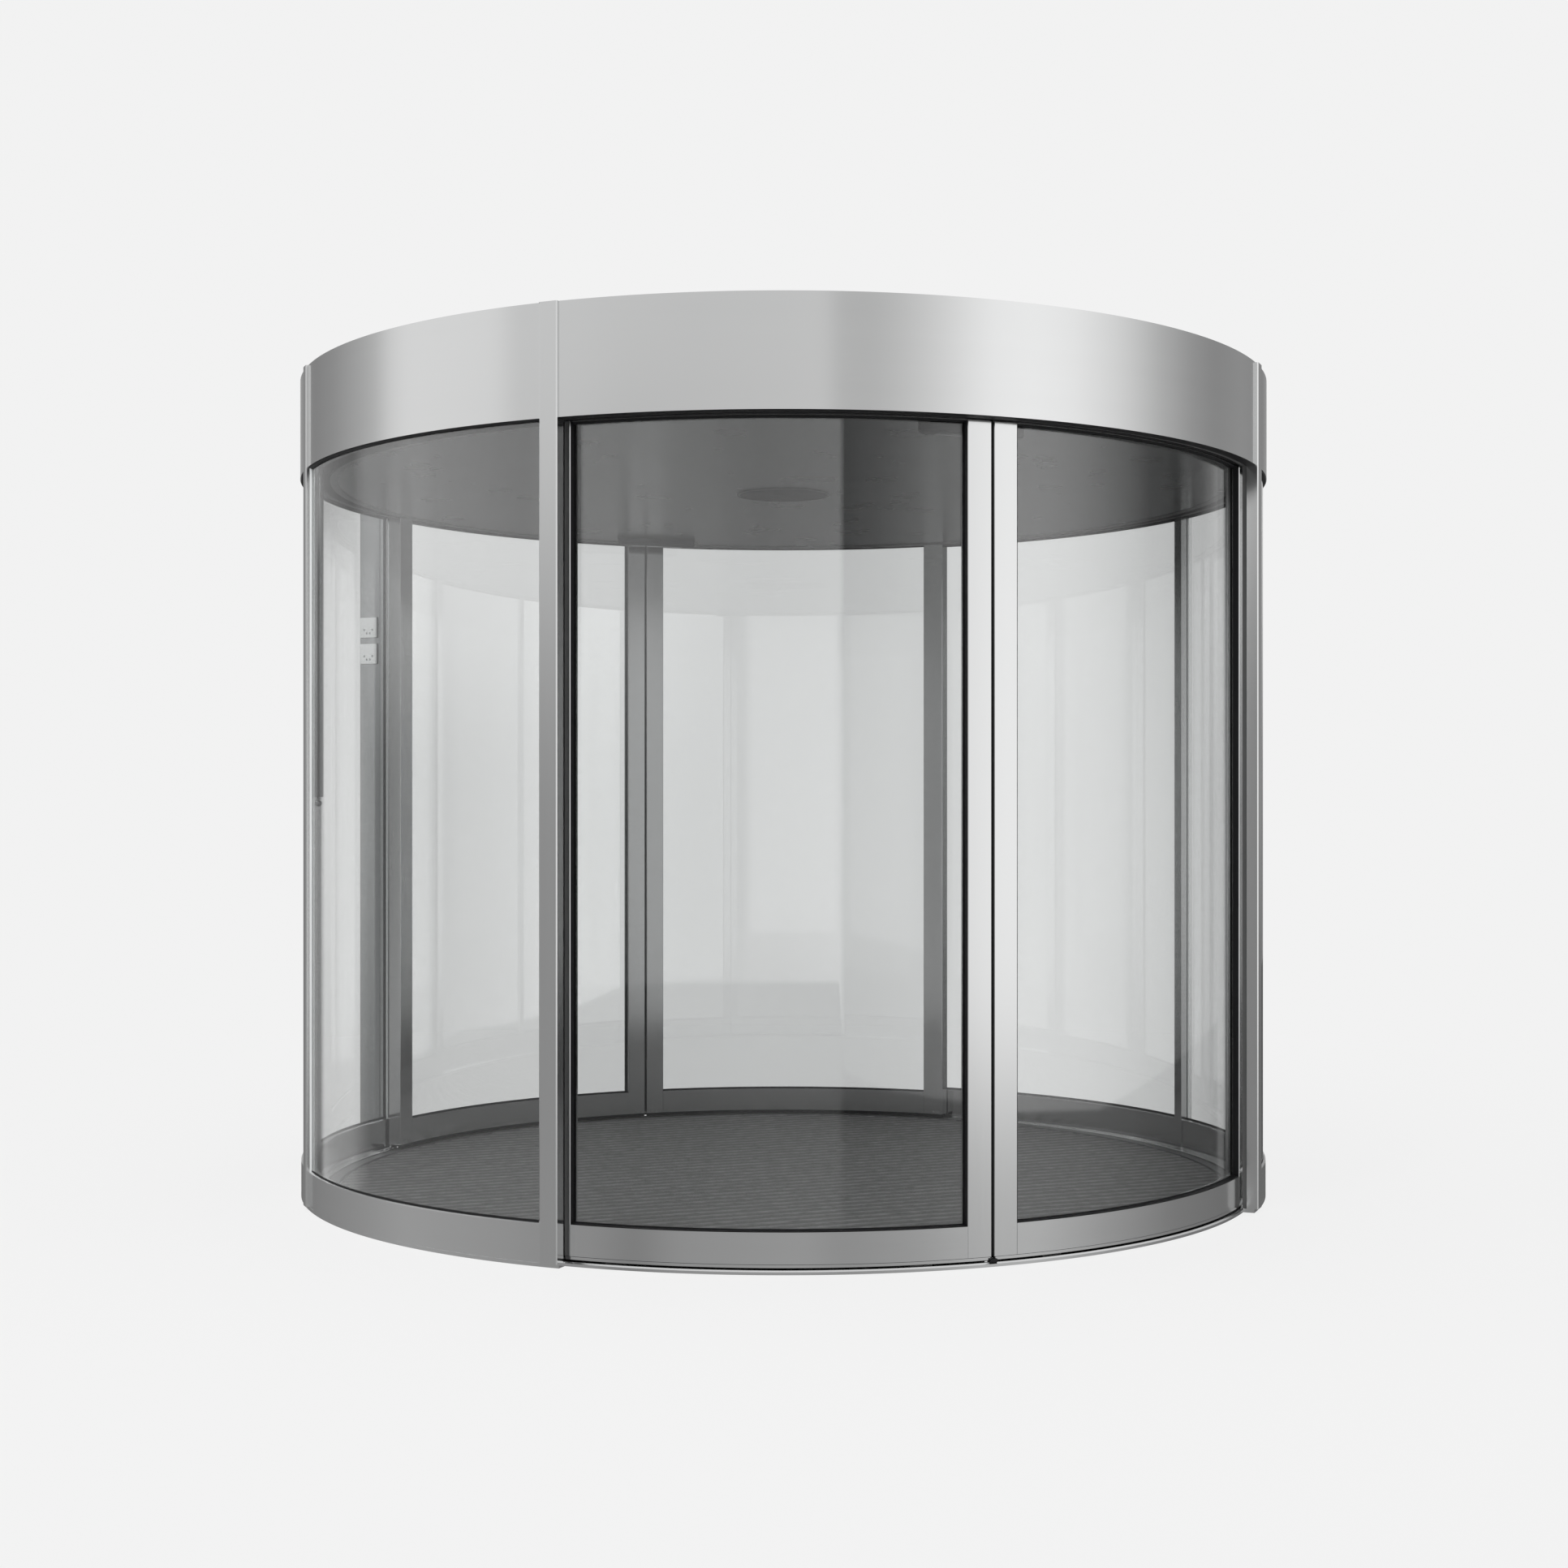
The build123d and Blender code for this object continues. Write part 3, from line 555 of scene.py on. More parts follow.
for leaf in LEAVES:
    name, entrance, side = leaf
    dress(satin_drawn, f"{name}_stiles")
    dress(satin_rolled, f"{name}_bottom_rail", f"{name}_head_rail")
    dress(front_glass if entrance == FRONT else leaf_glass, f"{name}_glass")
    body = f"{name}_leaf"
    gasket = bmesh.new()
    low, high = leaf_rail_top, leaf_top
    start, end = LEAD_INNER + turn_of(REVEAL_LINER), TRAIL_INNER - turn_of(REVEAL_LINER)
    for face, rim, toward in (
        (PANE_OUTER, LEAF_OUTER - LINER_SETBACK, 1.0), (PANE_INNER, PANE_INNER - INNER_LINER, -1.0),
    ):
        lip = face + toward * GASKET_LIP
        for edge_angle, turn in ((LEAD_INNER, 1), (TRAIL_INNER, -1)):
            near = edge_angle + turn * turn_of(REVEAL_LINER)
            far = edge_angle + turn * turn_of(GASKET_FOOT)
            sweep_leaf(gasket, upright(face, rim, low, high), leaf, edge_angle, near)
            sweep_leaf(gasket, upright(face, lip, low, high), leaf, near, far)
        wedge = [
            (face, low), (rim - toward * WEDGE, low), (rim - toward * WEDGE, low + WEDGE),
            (lip, low + WEDGE_SHOULDER), (face, low + WEDGE_SHOULDER),
        ]
        sweep_leaf(gasket, wedge, leaf, start, end)
        sweep_leaf(
            gasket, upright(face, lip, low + WEDGE_SHOULDER, low + WEDGE_TOP), leaf,
            LEAD_INNER + turn_of(GASKET_FOOT), TRAIL_INNER - turn_of(GASKET_FOOT),
        )
        reach = face + toward * HEAD_WEDGE_REACH
        wedge = [(face, high - HEAD_WEDGE), (reach, high - HEAD_WEDGE_EDGE), (reach, high), (face, high)]
        sweep_leaf(gasket, wedge, leaf, start, end)
    make_piece(gasket, f"{name}_glazing_gasket", seal_rubber, body, "seal_rubber")

    seal = bmesh.new()
    meeting = upright(SEAL_INNER, SEAL_OUTER, leaf_bottom + SEAL_END, leaf_top - SEAL_END)
    sweep_leaf(seal, meeting, leaf, turn_of(SEAL_HALF_GAP), LEAD)
    # The inner black strip is painted shade.
    for inner, outer in WIPER_AND_SHADE_STRIPS:
        under_strip = upright(inner, outer, UNDER_STRIP_LOW, leaf_bottom)
        sweep_leaf(seal, under_strip, leaf, LEAD + UNDER_STRIP_END_ANGLE, TRAIL - UNDER_STRIP_END_ANGLE)
    make_piece(seal, f"{name}_seals_and_shade_strip", seal_rubber, body, "seal_rubber")

    carrier = bmesh.new()
    strip = upright(STRIP_INNER, STRIP_OUTER, STRIP_LOW, leaf_bottom - STRIP_BELOW_LEAF)
    sweep_leaf(carrier, strip, leaf, LEAD + STRIP_END_ANGLE, TRAIL - STRIP_END_ANGLE)
    make_piece(carrier, f"{name}_seal_carriers", satin_rolled, body, "satin_aluminium")

    screws = bmesh.new()
    for edge_angle, turn in ((LEAD, 1), (TRAIL, -1)):
        for along in SCREW_PLACES:
            angle = entrance + side * (edge_angle + turn * turn_of(along, LEAF_INNER))
            disc(screws, 0.0036, 0.0016, outward(angle, LEAF_INNER - 0.0002, SCREW_HEIGHT), 0.0006, 16)
    make_piece(screws, f"{name}_stile_screws", screw_steel, body, "satin_aluminium")

# ---------------------------------------------------------------- canopy
# Rolled satin fascias between the uprights hide the track. Under their edge a black brush profile
# closes the head of each entrance, and a plain sheet roof keeps out the dust.
roof_sheet = satin_metal("roof sheet", (0.55, 0.56, 0.56), 0.42, (40.0, 40.0, 40.0), tone=0.25, spread=0.2)
dress(satin_rolled, "fascia_front", "fascia_rear", "fascia_left", "fascia_right")
track_paint = moulded("track housing paint", (0.10, 0.10, 0.10), 0.45, variation=0.2)
dress(track_paint, "track_housing")
dress(roof_sheet, "roof_cover")

HEAD_SEAL_ANGLE = 44.1  # from the middle of an entrance almost to its posts
SEAL_BEHIND_FASCIA, BRUSH_INNER, BRUSH_OUTER = 1.4915, 1.4700, 1.4760
fascia_seal = [
    (SEAL_BEHIND_FASCIA, clear_height - 0.0025), (SEAL_BEHIND_FASCIA, clear_height),
    (SIDE_FACE, clear_height), (SIDE_FACE, clear_height - 0.0015),
]
brush_seal = [
    (BRUSH_INNER, clear_height - 0.0020), (BRUSH_INNER, clear_height),
    (BRUSH_OUTER, clear_height), (BRUSH_OUTER, clear_height - 0.0020),
]
head = bmesh.new()
for entrance in (FRONT, REAR):
    for section in (fascia_seal, brush_seal):
        sweep(head, section, entrance - HEAD_SEAL_ANGLE, entrance + HEAD_SEAL_ANGLE)
make_piece(head, "entrance_head_seals", seal_rubber, "housing", "seal_rubber")

roof_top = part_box("roof_cover")[1].z
ROOF_RADIUS, ROOF_JOINT, JOINT_HALF_WIDTH, JOINT_END_GAP = 1.50, 0.505, 0.018, 0.03
RIM_FIXINGS, RIM_FIXING_RADIUS, JOINT_FIXING_PITCH = 36, 1.485, 0.24
joints = bmesh.new()
for across in (-ROOF_JOINT, ROOF_JOINT):
    half = sqrt(ROOF_RADIUS ** 2 - across ** 2) - JOINT_END_GAP
    bar(
        joints, across - JOINT_HALF_WIDTH, across + JOINT_HALF_WIDTH, 2.0 * half, REAR,
        roof_top, roof_top + 0.0012, edge=0.0004,
    )
make_piece(joints, "roof_joint_strips", roof_sheet, "housing", "cover_sheet")
fixings = bmesh.new()
for index in range(RIM_FIXINGS):
    turn = Matrix.Rotation(radians((index + 0.5) * 360.0 / RIM_FIXINGS), 4, "Z")
    place = turn @ Matrix.Translation((RIM_FIXING_RADIUS, 0.0, roof_top + 0.0011))
    disc(fixings, 0.0070, 0.0024, place, 0.0008, 12)
for across in (-ROOF_JOINT, ROOF_JOINT):
    for index in range(-5, 6):
        place = Matrix.Translation((index * JOINT_FIXING_PITCH, across, roof_top + 0.0016))
        disc(fixings, 0.0060, 0.0030, place, 0.0008, 12)
make_piece(fixings, "roof_fixings", screw_steel, "housing", "cover_sheet")

# ---------------------------------------------------------------- ceiling and lamp
# Twelve painted sheet panels meet in fine seams around a round lamp with a smoked lens.
# A thin trim ring covers their outer edge beside the slot that the leaves hang through.
soffit_paint = moulded("soffit paint", (0.012, 0.012, 0.012), 0.25, scale=30.0, variation=0.05, depth=0.0)
dress(soffit_paint, "ceiling_panels", "ceiling_deck")
TRIM_INNER, TRIM_EDGE, TRIM_OUTER = 1.4085, 1.4280, 1.4310
trim = bmesh.new()
sweep(trim, [
    (TRIM_INNER, clear_height - 0.0012), (TRIM_INNER, clear_height), (TRIM_OUTER, clear_height),
    (TRIM_OUTER, clear_height - 0.0030), (TRIM_EDGE, clear_height - 0.0030),
], 0.0, 360.0)
make_piece(trim, "ceiling_trim_ring", track_paint, "housing", "soffit_grey")

lamp_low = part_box("ceiling_lamp")[0].z
lamp_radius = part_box("ceiling_lamp")[1].x
smoked_lens = moulded(
    "smoked lens", (0.030, 0.030, 0.030), 0.75, scale=220.0, variation=0.4, depth=0.0004, level=0.1
)
black_plastic = moulded("black plastic", (0.022, 0.022, 0.023), 0.50, scale=1300.0, variation=0.3, level=0.3)
LENS_RIDGES, RIDGE_PITCH, RIDGE_FALL = 13, 0.0100, 0.0008
lamp_back = clear_height + 0.006
bezel = bmesh.new()
sweep(bezel, [
    (lamp_radius - 0.009, lamp_back), (lamp_radius - 0.009, lamp_low + 0.0006),
    (lamp_radius - 0.007, lamp_low), (lamp_radius - 0.0012, lamp_low + 0.0008),
    (lamp_radius, lamp_low + 0.0020), (lamp_radius, lamp_back),
], 0.0, 360.0, step=3.0)
make_piece(bezel, "lamp_bezel", black_plastic, "housing", "black_plastic", "ceiling_lamp")
lens = bmesh.new()
profile = [(0.0, lamp_low + 0.0004)]
for index in range(1, LENS_RIDGES + 1):
    radius = index * RIDGE_PITCH
    profile += [(radius - RIDGE_FALL, lamp_low + 0.0004), (radius, lamp_low + 0.0012)]
profile += [(lamp_radius - 0.0100, lamp_low + 0.0020), (lamp_radius - 0.0100, lamp_back), (0.0, lamp_back)]
part = bmesh.new()
points = [part.verts.new((radius, 0.0, height)) for radius, height in profile]
for first, second in zip(points, points[1:]):
    part.edges.new((first, second))
bmesh.ops.spin(
    part, geom=part.verts[:] + part.edges[:], cent=(0, 0, 0), axis=(0, 0, 1), angle=2.0 * pi,
    steps=96, use_merge=True,
)
add_part(lens, part)
make_piece(lens, "lamp_lens", smoked_lens, "housing", "lamp_lens")

# ---------------------------------------------------------------- presence sensors
# Long rounded plastic bodies under the ceiling, one behind each entrance, with a dark window along the
# side that faces the doorway.
sensor_window = moulded("sensor window", (0.006, 0.006, 0.007), 0.12, scale=60.0, variation=0.2)
END_ROUNDING, RIM_ROUNDING = 0.48, 0.40  # shares of the body's depth and drop
WINDOW_HALF_DEPTH, WINDOW_SHORTER = 0.016, 0.10
for name, facing in (("sensor_front", FRONT), ("sensor_rear", REAR)):
    low_corner, high_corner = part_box(name)
    centre = (abs(low_corner.y) + abs(high_corner.y)) / 2.0
    depth = abs(high_corner.y - low_corner.y)
    length = high_corner.x - low_corner.x
    drop = clear_height - low_corner.z
    body = bmesh.new()
    part = bmesh.new()
    size = Matrix.Diagonal((depth, length, drop, 1.0))
    place = Matrix.Translation((centre, 0.0, clear_height - drop / 2.0))
    bmesh.ops.create_cube(part, size=1.0, matrix=place @ size)
    corners = [e for e in part.edges if abs(e.verts[0].co.z - e.verts[1].co.z) > drop / 2.0]
    round_edges(part, corners, depth * END_ROUNDING, 10)
    rims = [e for e in part.edges if max(v.co.z for v in e.verts) < low_corner.z + 0.001]
    round_edges(part, rims, drop * RIM_ROUNDING, 5)
    bmesh.ops.rotate(part, verts=part.verts, cent=(0, 0, 0), matrix=Matrix.Rotation(radians(facing), 3, "Z"))
    add_part(body, part)
    make_piece(body, f"{name}_body", black_plastic, "housing", "black_plastic", name)
    window = bmesh.new()
    bar(
        window, centre - WINDOW_HALF_DEPTH, centre + WINDOW_HALF_DEPTH, length - WINDOW_SHORTER, facing,
        low_corner.z - 0.0004, low_corner.z + 0.002, edge=0.0004,
    )
    make_piece(window, f"{name}_window", sensor_window, "housing", "black_plastic")

# ---------------------------------------------------------------- control column and switch plates
# A drawn aluminium box on the rear left post takes the wiring down from the canopy, and a white strip down
# its inner edge is a painted highlight. Two square push plates, with four small dimples each, sit on its
# left side.
# The column takes the darker copy of the satin aluminium: painted shade.
dress(satin_painted_shade, "control_column")
COLUMN_ANGLE = REAR + POST_MIDDLE
# White strip down the column's inner edge: a painted highlight.
COLUMN_HIGHLIGHT, COLUMN_HIGHLIGHT_SHIFT = (1.4890, 1.4965, 0.0016), 0.0262
column_highlight = bmesh.new()
bar(column_highlight, *COLUMN_HIGHLIGHT, COLUMN_ANGLE, ring_top + 0.008, clear_height - 0.004, COLUMN_HIGHLIGHT_SHIFT)
make_piece(column_highlight, "column_edge_highlight", painted_highlight_white, "housing", "seal_rubber")
brushed_plate = satin_metal(
    "pale satin plate", (0.93, 0.94, 0.94), 0.45, (900.0, 900.0, 20.0), tone=0.05, depth=0.00001
)
brushed_plate.node_tree.nodes["Principled BSDF"].inputs["Metallic"].default_value = 0.2
SWITCH_MIDDLE, SWITCH_SIZE, SWITCH_SHIFT = 1.5710, 0.072, 0.031
SWITCH_HEIGHT, SWITCH_HALF_PITCH = 1.774, 0.04575
PLATE_INSET = 0.001  # edge of the frame to the edge of its plate
DIMPLES = ((-0.0175, -0.008), (-0.0070, -0.020), (0.0070, -0.020), (0.0175, -0.008))
half = SWITCH_SIZE / 2.0
plates, frames, dimples = bmesh.new(), bmesh.new(), bmesh.new()
for centre in (SWITCH_HEIGHT - SWITCH_HALF_PITCH, SWITCH_HEIGHT + SWITCH_HALF_PITCH):
    bar(
        frames, SWITCH_MIDDLE - half, SWITCH_MIDDLE + half, 0.0040, COLUMN_ANGLE, centre - half,
        centre + half, SWITCH_SHIFT - 0.0020, edge=0.0006,
    )
    bar(
        plates, SWITCH_MIDDLE - half + PLATE_INSET, SWITCH_MIDDLE + half - PLATE_INSET, 0.0045, COLUMN_ANGLE,
        centre - half + PLATE_INSET, centre + half - PLATE_INSET, SWITCH_SHIFT + 0.00175,
        edge=0.0014, segments=3,
    )
    for across, up in DIMPLES:
        place = (
            Matrix.Rotation(radians(COLUMN_ANGLE), 4, "Z")
            @ Matrix.Translation((SWITCH_MIDDLE + across, SWITCH_SHIFT + 0.0038, centre + up))
            @ Matrix.Rotation(pi / 2.0, 4, "X")
        )
        disc(dimples, 0.0040, 0.0008, place, 0.0003, 16)
make_piece(frames, "switch_frames", black_plastic, "housing", "black_plastic")
make_piece(plates, "switch_push_plates", brushed_plate, "housing", "switch_metal", "switch_plates")
dimple_metal = satin_metal("dimple metal", (0.30, 0.31, 0.31), 0.3, SPECKLED, depth=0.00001)
make_piece(dimples, "switch_dimples", dimple_metal, "housing", "switch_metal")

# ---------------------------------------------------------------- emergency release
# A slim channel beside the left mullion guides the release pull, which ends in a small ball. A dark block in
# its slot is painted shade.
RELEASE_LOW = 1.223
RELEASE_INNER, RELEASE_OUTER, RELEASE_SHIFT = 1.474, 1.499, 0.031
LIP_WIDTH, INNER_LIP, OUTER_LIP = 0.018, 0.0115, 0.0065
SLOT_WIDTH, SLOT_SHIFT, SLOT_BITE = 0.012, 0.003, 0.0002
BALL_RADIUS, BALL_DROP = 0.009, 0.019
STEM_RADIUS, STEM_LENGTH = 0.0030, 0.011
channel_satin = satin_metal("release channel satin", (0.40, 0.415, 0.42), 0.2, ALONG_HEIGHT)
channel, slot = bmesh.new(), bmesh.new()
for inner, outer in ((RELEASE_INNER, RELEASE_INNER + INNER_LIP), (RELEASE_OUTER - OUTER_LIP, RELEASE_OUTER)):
    bar(channel, inner, outer, LIP_WIDTH, LEFT, RELEASE_LOW, clear_height, RELEASE_SHIFT, edge=0.0010)
# A dark block set back in the slot between the lips: painted shade of the slot.
bar(
    slot, RELEASE_INNER + INNER_LIP - SLOT_BITE, RELEASE_OUTER - OUTER_LIP + SLOT_BITE, SLOT_WIDTH, LEFT,
    RELEASE_LOW, clear_height, RELEASE_SHIFT - SLOT_SHIFT,
)
make_piece(channel, "release_pull_channel", channel_satin, "housing", "satin_aluminium", "release_channel")
make_piece(slot, "release_pull_slot_shade", track_paint, "housing", "satin_aluminium")
ball = bmesh.new()
part = bmesh.new()
release_middle = (RELEASE_INNER + RELEASE_OUTER) / 2.0
hang_point = Matrix.Translation((release_middle, RELEASE_SHIFT, RELEASE_LOW))
hang = Matrix.Rotation(radians(LEFT), 4, "Z") @ hang_point
bmesh.ops.create_uvsphere(
    part, u_segments=32, v_segments=20, radius=BALL_RADIUS,
    matrix=hang @ Matrix.Translation((0.0, 0.0, -BALL_DROP)),
)
add_part(ball, part)
disc(ball, STEM_RADIUS, STEM_LENGTH, hang @ Matrix.Translation((0.0, 0.0, -STEM_LENGTH / 2.0)), 0.0004, 16)
make_piece(ball, "release_ball", dimple_metal, "housing", "satin_aluminium")

# ---------------------------------------------------------------- floor stops
# Black rubber buffers on the ring where the leaves meet, with a small metal striker behind each.
BUFFER, STRIKER = (1.4735, 1.4830, 0.0200), (1.4670, 1.4733, 0.0130)  # inner face, outer face, width
stop_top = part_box("floor_stops")[1].z
stops, strikers = bmesh.new(), bmesh.new()
for facing in (FRONT, REAR):
    bar(stops, *BUFFER, facing, ring_top, stop_top, edge=0.0015)
    bar(strikers, *STRIKER, facing, ring_top, stop_top - 0.0005, edge=0.0008)
make_piece(stops, "stop_buffers", seal_rubber, "housing", "black_plastic", "floor_stops")
make_piece(strikers, "stop_strikers", screw_steel, "housing", "satin_aluminium")

# ---------------------------------------------------------------- studio
# A plain pale floor that fades into a plain pale room, and one soft lamp. Mirrored rays meet soft walls
# of their own, by direction and by how much glass they have crossed, and the floor is clear to them.
BACKGROUND = 0.887
FLOOR_RADIUS = 90.0
CAMERA_AZIMUTH = -111.67  # where the camera stands, seen from the axis of the drum
ROOM_SCALE = 1.5  # no value of a wall is larger, where no other scale is given
HORIZON, SOFTEST = 15.0, 15.0  # what an edge's list calls level, and its widest half, in degrees
OVERHEAD = 0.78

floor_mesh = bmesh.new()
bmesh.ops.create_circle(floor_mesh, cap_ends=True, segments=96, radius=FLOOR_RADIUS)
mesh = bpy.data.meshes.new("studio_floor")
floor_mesh.to_mesh(mesh)
floor_mesh.free()
floor = bpy.data.objects.new("studio_floor", mesh)
bpy.context.scene.collection.objects.link(floor)
paving, tree, shader, place = new_finish("studio floor")
mesh.materials.append(paving)
tree.nodes.remove(shader)
apart = add_node(tree, "SeparateXYZ", Vector=place)
fade = add_node(tree, "MapRange", Value=axis_distance(tree, apart), i1=1.6, i2=5.0, i3=0.13, i4=0.0)
glow = add_node(tree, "Emission", Color=(BACKGROUND, BACKGROUND, BACKGROUND, 1), Strength=1.0)
matt = add_node(tree, "BsdfDiffuse", Color=(BACKGROUND, BACKGROUND, BACKGROUND, 1))
plain = add_node(tree, "MixShader", i0=fade.outputs[0], i1=glow.outputs[0], i2=matt.outputs[0])
clear = add_node(tree, "BsdfTransparent")
light_path = tree.nodes.new("ShaderNodeLightPath")
mirrored = maths(tree, "GREATER_THAN", light_path.outputs["Glossy Depth"], 0.5)
shown = add_node(tree, "MixShader", i0=mirrored, i1=plain.outputs[0], i2=clear.outputs[0])
tree.links.new(shown.outputs[0], tree.nodes["Material Output"].inputs["Surface"])

world = bpy.data.worlds.new("studio room")
bpy.context.scene.world = world
world.use_nodes = True
world.cycles.sampling_method = "NONE"
sky = world.node_tree
direction = sky.nodes.new("ShaderNodeTexCoord").outputs["Generated"]
apart = add_node(sky, "SeparateXYZ", Vector=direction)
bearing = maths(sky, "ARCTAN2", apart.outputs["Y"], apart.outputs["X"])
bearing = maths(sky, "SUBTRACT", bearing, radians(CAMERA_AZIMUTH))
bearing = maths(sky, "WRAP", bearing, pi, -pi)
around = maths(sky, "ADD", maths(sky, "DIVIDE", bearing, 2.0 * pi), 0.5)
elevation = maths(sky, "MULTIPLY", maths(sky, "ARCSINE", apart.outputs["Z"]), degrees(1.0))


def reflector(stops, scale=ROOM_SCALE):
    """Values round the room, as (bearing from the camera in degrees, value up to the scale) stops."""
    node = sky.nodes.new("ShaderNodeValToRGB")
    sky.links.new(around, node.inputs["Fac"])
    elements = node.color_ramp.elements
    for index, (angle, value) in enumerate(stops):
        at = (angle + 180.0) / 360.0
        element = elements[index] if index < 2 else elements.new(at)
        element.position = at
        element.color = (*[value / scale] * 3, 1.0)
    return maths(sky, "MULTIPLY", node.outputs["Color"], scale)


def panel(high, low, edge, softness, scale=ROOM_SCALE):
    """Room wall with high values above an edge and low ones below it."""
    middle = maths(sky, "SUBTRACT", reflector(edge, 2.0 * HORIZON), HORIZON)
    half = reflector(softness, SOFTEST)
    share = add_node(
        sky, "MapRange", settings={"interpolation_type": "SMOOTHSTEP"}, Value=elevation,
        i1=maths(sky, "SUBTRACT", middle, half), i2=maths(sky, "ADD", middle, half),
    ).outputs[0]
    below = maths(sky, "MULTIPLY", reflector(low, scale), maths(sky, "SUBTRACT", 1.0, share))
    return maths(sky, "ADD", maths(sky, "MULTIPLY", reflector(high, scale), share), below)


# What bare metal mirrors: walls that are brightest on one side of the camera and dim on both flanks.
metal_sees = panel(
    [(-180, 0.88), (-168, 0.85), (-160, 0.30), (-140, 0.235), (-126, 0.29), (-113, 0.40), (-106, 0.48),
     (-100, 0.69), (-94, 0.77), (-67, 0.75), (-61, 0.62), (-54, 0.64), (-20, 0.60), (0, 0.61), (10, 0.63),
     (11.5, 0.49), (20, 0.49), (27, 0.58), (34, 0.69), (41, 0.82), (47, 0.92), (57, 0.95), (67, 0.905),
     (81, 0.72), (94, 0.47), (106, 0.32), (116, 0.26), (132, 0.29), (153, 0.225), (162, 0.34), (170, 0.85),
     (180, 0.88)],
    [(-180, 0.12), (-110, 0.30), (-95, 0.355), (-62, 0.31), (-53, 0.275), (-46, 0.29), (-34, 0.22),
     (-24, 0.30), (5, 0.335), (13, 0.29), (29, 0.32), (37, 0.36), (47, 0.43), (60, 0.43), (80, 0.30),
     (103, 0.20), (140, 0.15), (180, 0.12)],
    [(-180, 15.0), (-100, 18.0), (-53, 20.5), (-34, 22.0), (5, 20.0), (11, 19.0), (13, 11.0), (25, 8.0),
     (47, 7.5), (100, 8.0), (180, 15.0)],
    [(-180, 4.0), (-53, 6.0), (-34, 4.5), (5, 6.0), (11, 6.0), (13, 3.0), (47, 2.2), (100, 2.5),
     (180, 4.0)],
)
# What the panes on the camera's side mirror: like walls in stronger contrast, with a step below.
front_glow = panel(
    [(-180, 0.60), (-151, 0.50), (-149, 1.0), (-145, 0.9), (-143, 0.50), (-118, 0.45), (-112, 0.90),
     (-102, 1.25), (-94, 1.55), (-73, 1.45), (-59, 1.30), (-48, 1.75), (-34, 1.75), (-24, 1.50),
     (-5, 1.30), (12.8, 1.60), (13.6, 0.15), (22, 0.45), (31, 0.95), (40.5, 1.55), (58, 2.45), (66, 2.20),
     (74, 1.70), (83, 1.05), (97, 0.20), (108, 0.05), (119, 0.20), (130, 0.60), (180, 0.60)],
    [(-180, 0.45), (-151, 0.40), (-149, 0.50), (-145, 0.45), (-143, 0.15), (-138, 0.25), (-135, 0.80),
     (-118, 0.80), (-110, 0.36), (-58, 0.36), (-50, 0.55), (-34, 0.55), (-20, 0.80), (-5, 1.30),
     (12.8, 1.75), (13.6, 0.45), (22, 0.60), (31, 0.85), (40.5, 1.20), (58, 1.90), (74, 1.50), (97, 0.55),
     (110, 0.25), (180, 0.25)],
    [(-180, 18.8), (-151, 17.0), (-145, 17.0), (-143, 21.8), (-118, 21.8), (-110, 18.8), (-60, 18.8),
     (-50, 18.4), (180, 18.4)],
    [(-180, 3.5), (-151, 9.0), (-145, 9.0), (-143, 1.0), (-118, 1.0), (-110, 3.5), (-60, 3.5), (-50, 4.2),
     (180, 4.2)], 3.0,
)
front_step = panel(
    [(-180, 1.0), (180, 1.0)], [(-180, 1.0), (-58, 1.0), (-52, 0.5), (12.8, 0.25), (57, 0.35), (180, 0.35)],
    [(-180, 10.2), (0, 10.5), (12.8, 10.5), (13.6, 8.2), (25, 7.7), (57, 7.2), (80, 7.3), (100, 8.2),
     (180, 12.0)],
    [(-180, 0.1), (180, 0.1)],
)
glass_sees = maths(sky, "MULTIPLY", front_glow, front_step)
# What stands behind a pane mirrors this dimmer room: the rear stiles, posts and mullions.
inside_sees = panel(
    [(-180, 0.30), (-150, 0.30), (-137, 0.35), (-126, 0.05), (-100, 0.40), (-62, 0.20), (-40, 0.15),
     (-37, 0.60), (-30, 1.05), (-12, 1.15), (9.5, 1.15), (10.5, 0.25), (20, 0.25), (30, 0.48), (42, 0.57),
     (60, 0.55), (100, 0.40), (114, 0.02), (128, 0.02), (150, 0.20), (180, 0.30)],
    [(-180, 0.15), (-137, 0.30), (-126, 0.05), (-60, 0.28), (-38, 0.32), (0, 0.36), (40, 0.46),
     (100, 0.25), (114, 0.02), (128, 0.02), (180, 0.15)],
    [(-180, 12.0), (-60, 11.0), (0, 11.5), (30, 10.4), (60, 10.4), (110, 15.0), (180, 15.0)],
    [(-180, 1.5), (60, 1.5), (110, 6.0), (180, 6.0)],
)
# What the rear panes mirror: a wall with a ledge above it, a skirting below it and a dark floor.
rear_wall = panel(
    [(-180, 1.0), (-123, 1.8), (-110, 1.7), (-109, 0.0), (-103, 0.0), (-102, 1.6), (-81.5, 1.7),
     (-81, 0.0), (-75.5, 0.0), (-75, 1.7), (-60, 1.6), (-40, 1.2), (-26, 0.75), (-19.2, 0.6), (-18.6, 0.0),
     (-15.4, 0.0), (-14.8, 0.75), (8.8, 1.1), (9, 0.75), (12.2, 0.35), (16.4, 0.35), (16.6, 2.0),
     (34, 2.5), (46, 3.3), (62, 3.5), (77, 2.0), (92, 1.4), (104, 1.0), (111.5, 1.1), (112, 2.3),
     (119, 2.3), (180, 1.0)],
    [(-180, 0.2), (-40, 0.4), (-26, 0.1), (-18, 0.0), (-15.5, 0.0), (-14.8, 0.0), (8.8, 0.1), (9, 0.5),
     (16.4, 0.3), (16.6, 2.0), (34, 2.5), (46, 3.3), (62, 3.5), (77, 2.0), (92, 1.4), (104, 1.0),
     (111.5, 1.1), (112, 2.3), (119, 2.3), (180, 1.0)],
    [(-180, 8.0), (-123, 8.2), (-66, 9.4), (-40, 11.3), (-18, 11.8), (180, 11.8)],
    [(-180, 0.08), (180, 0.08)], 4.0,
)
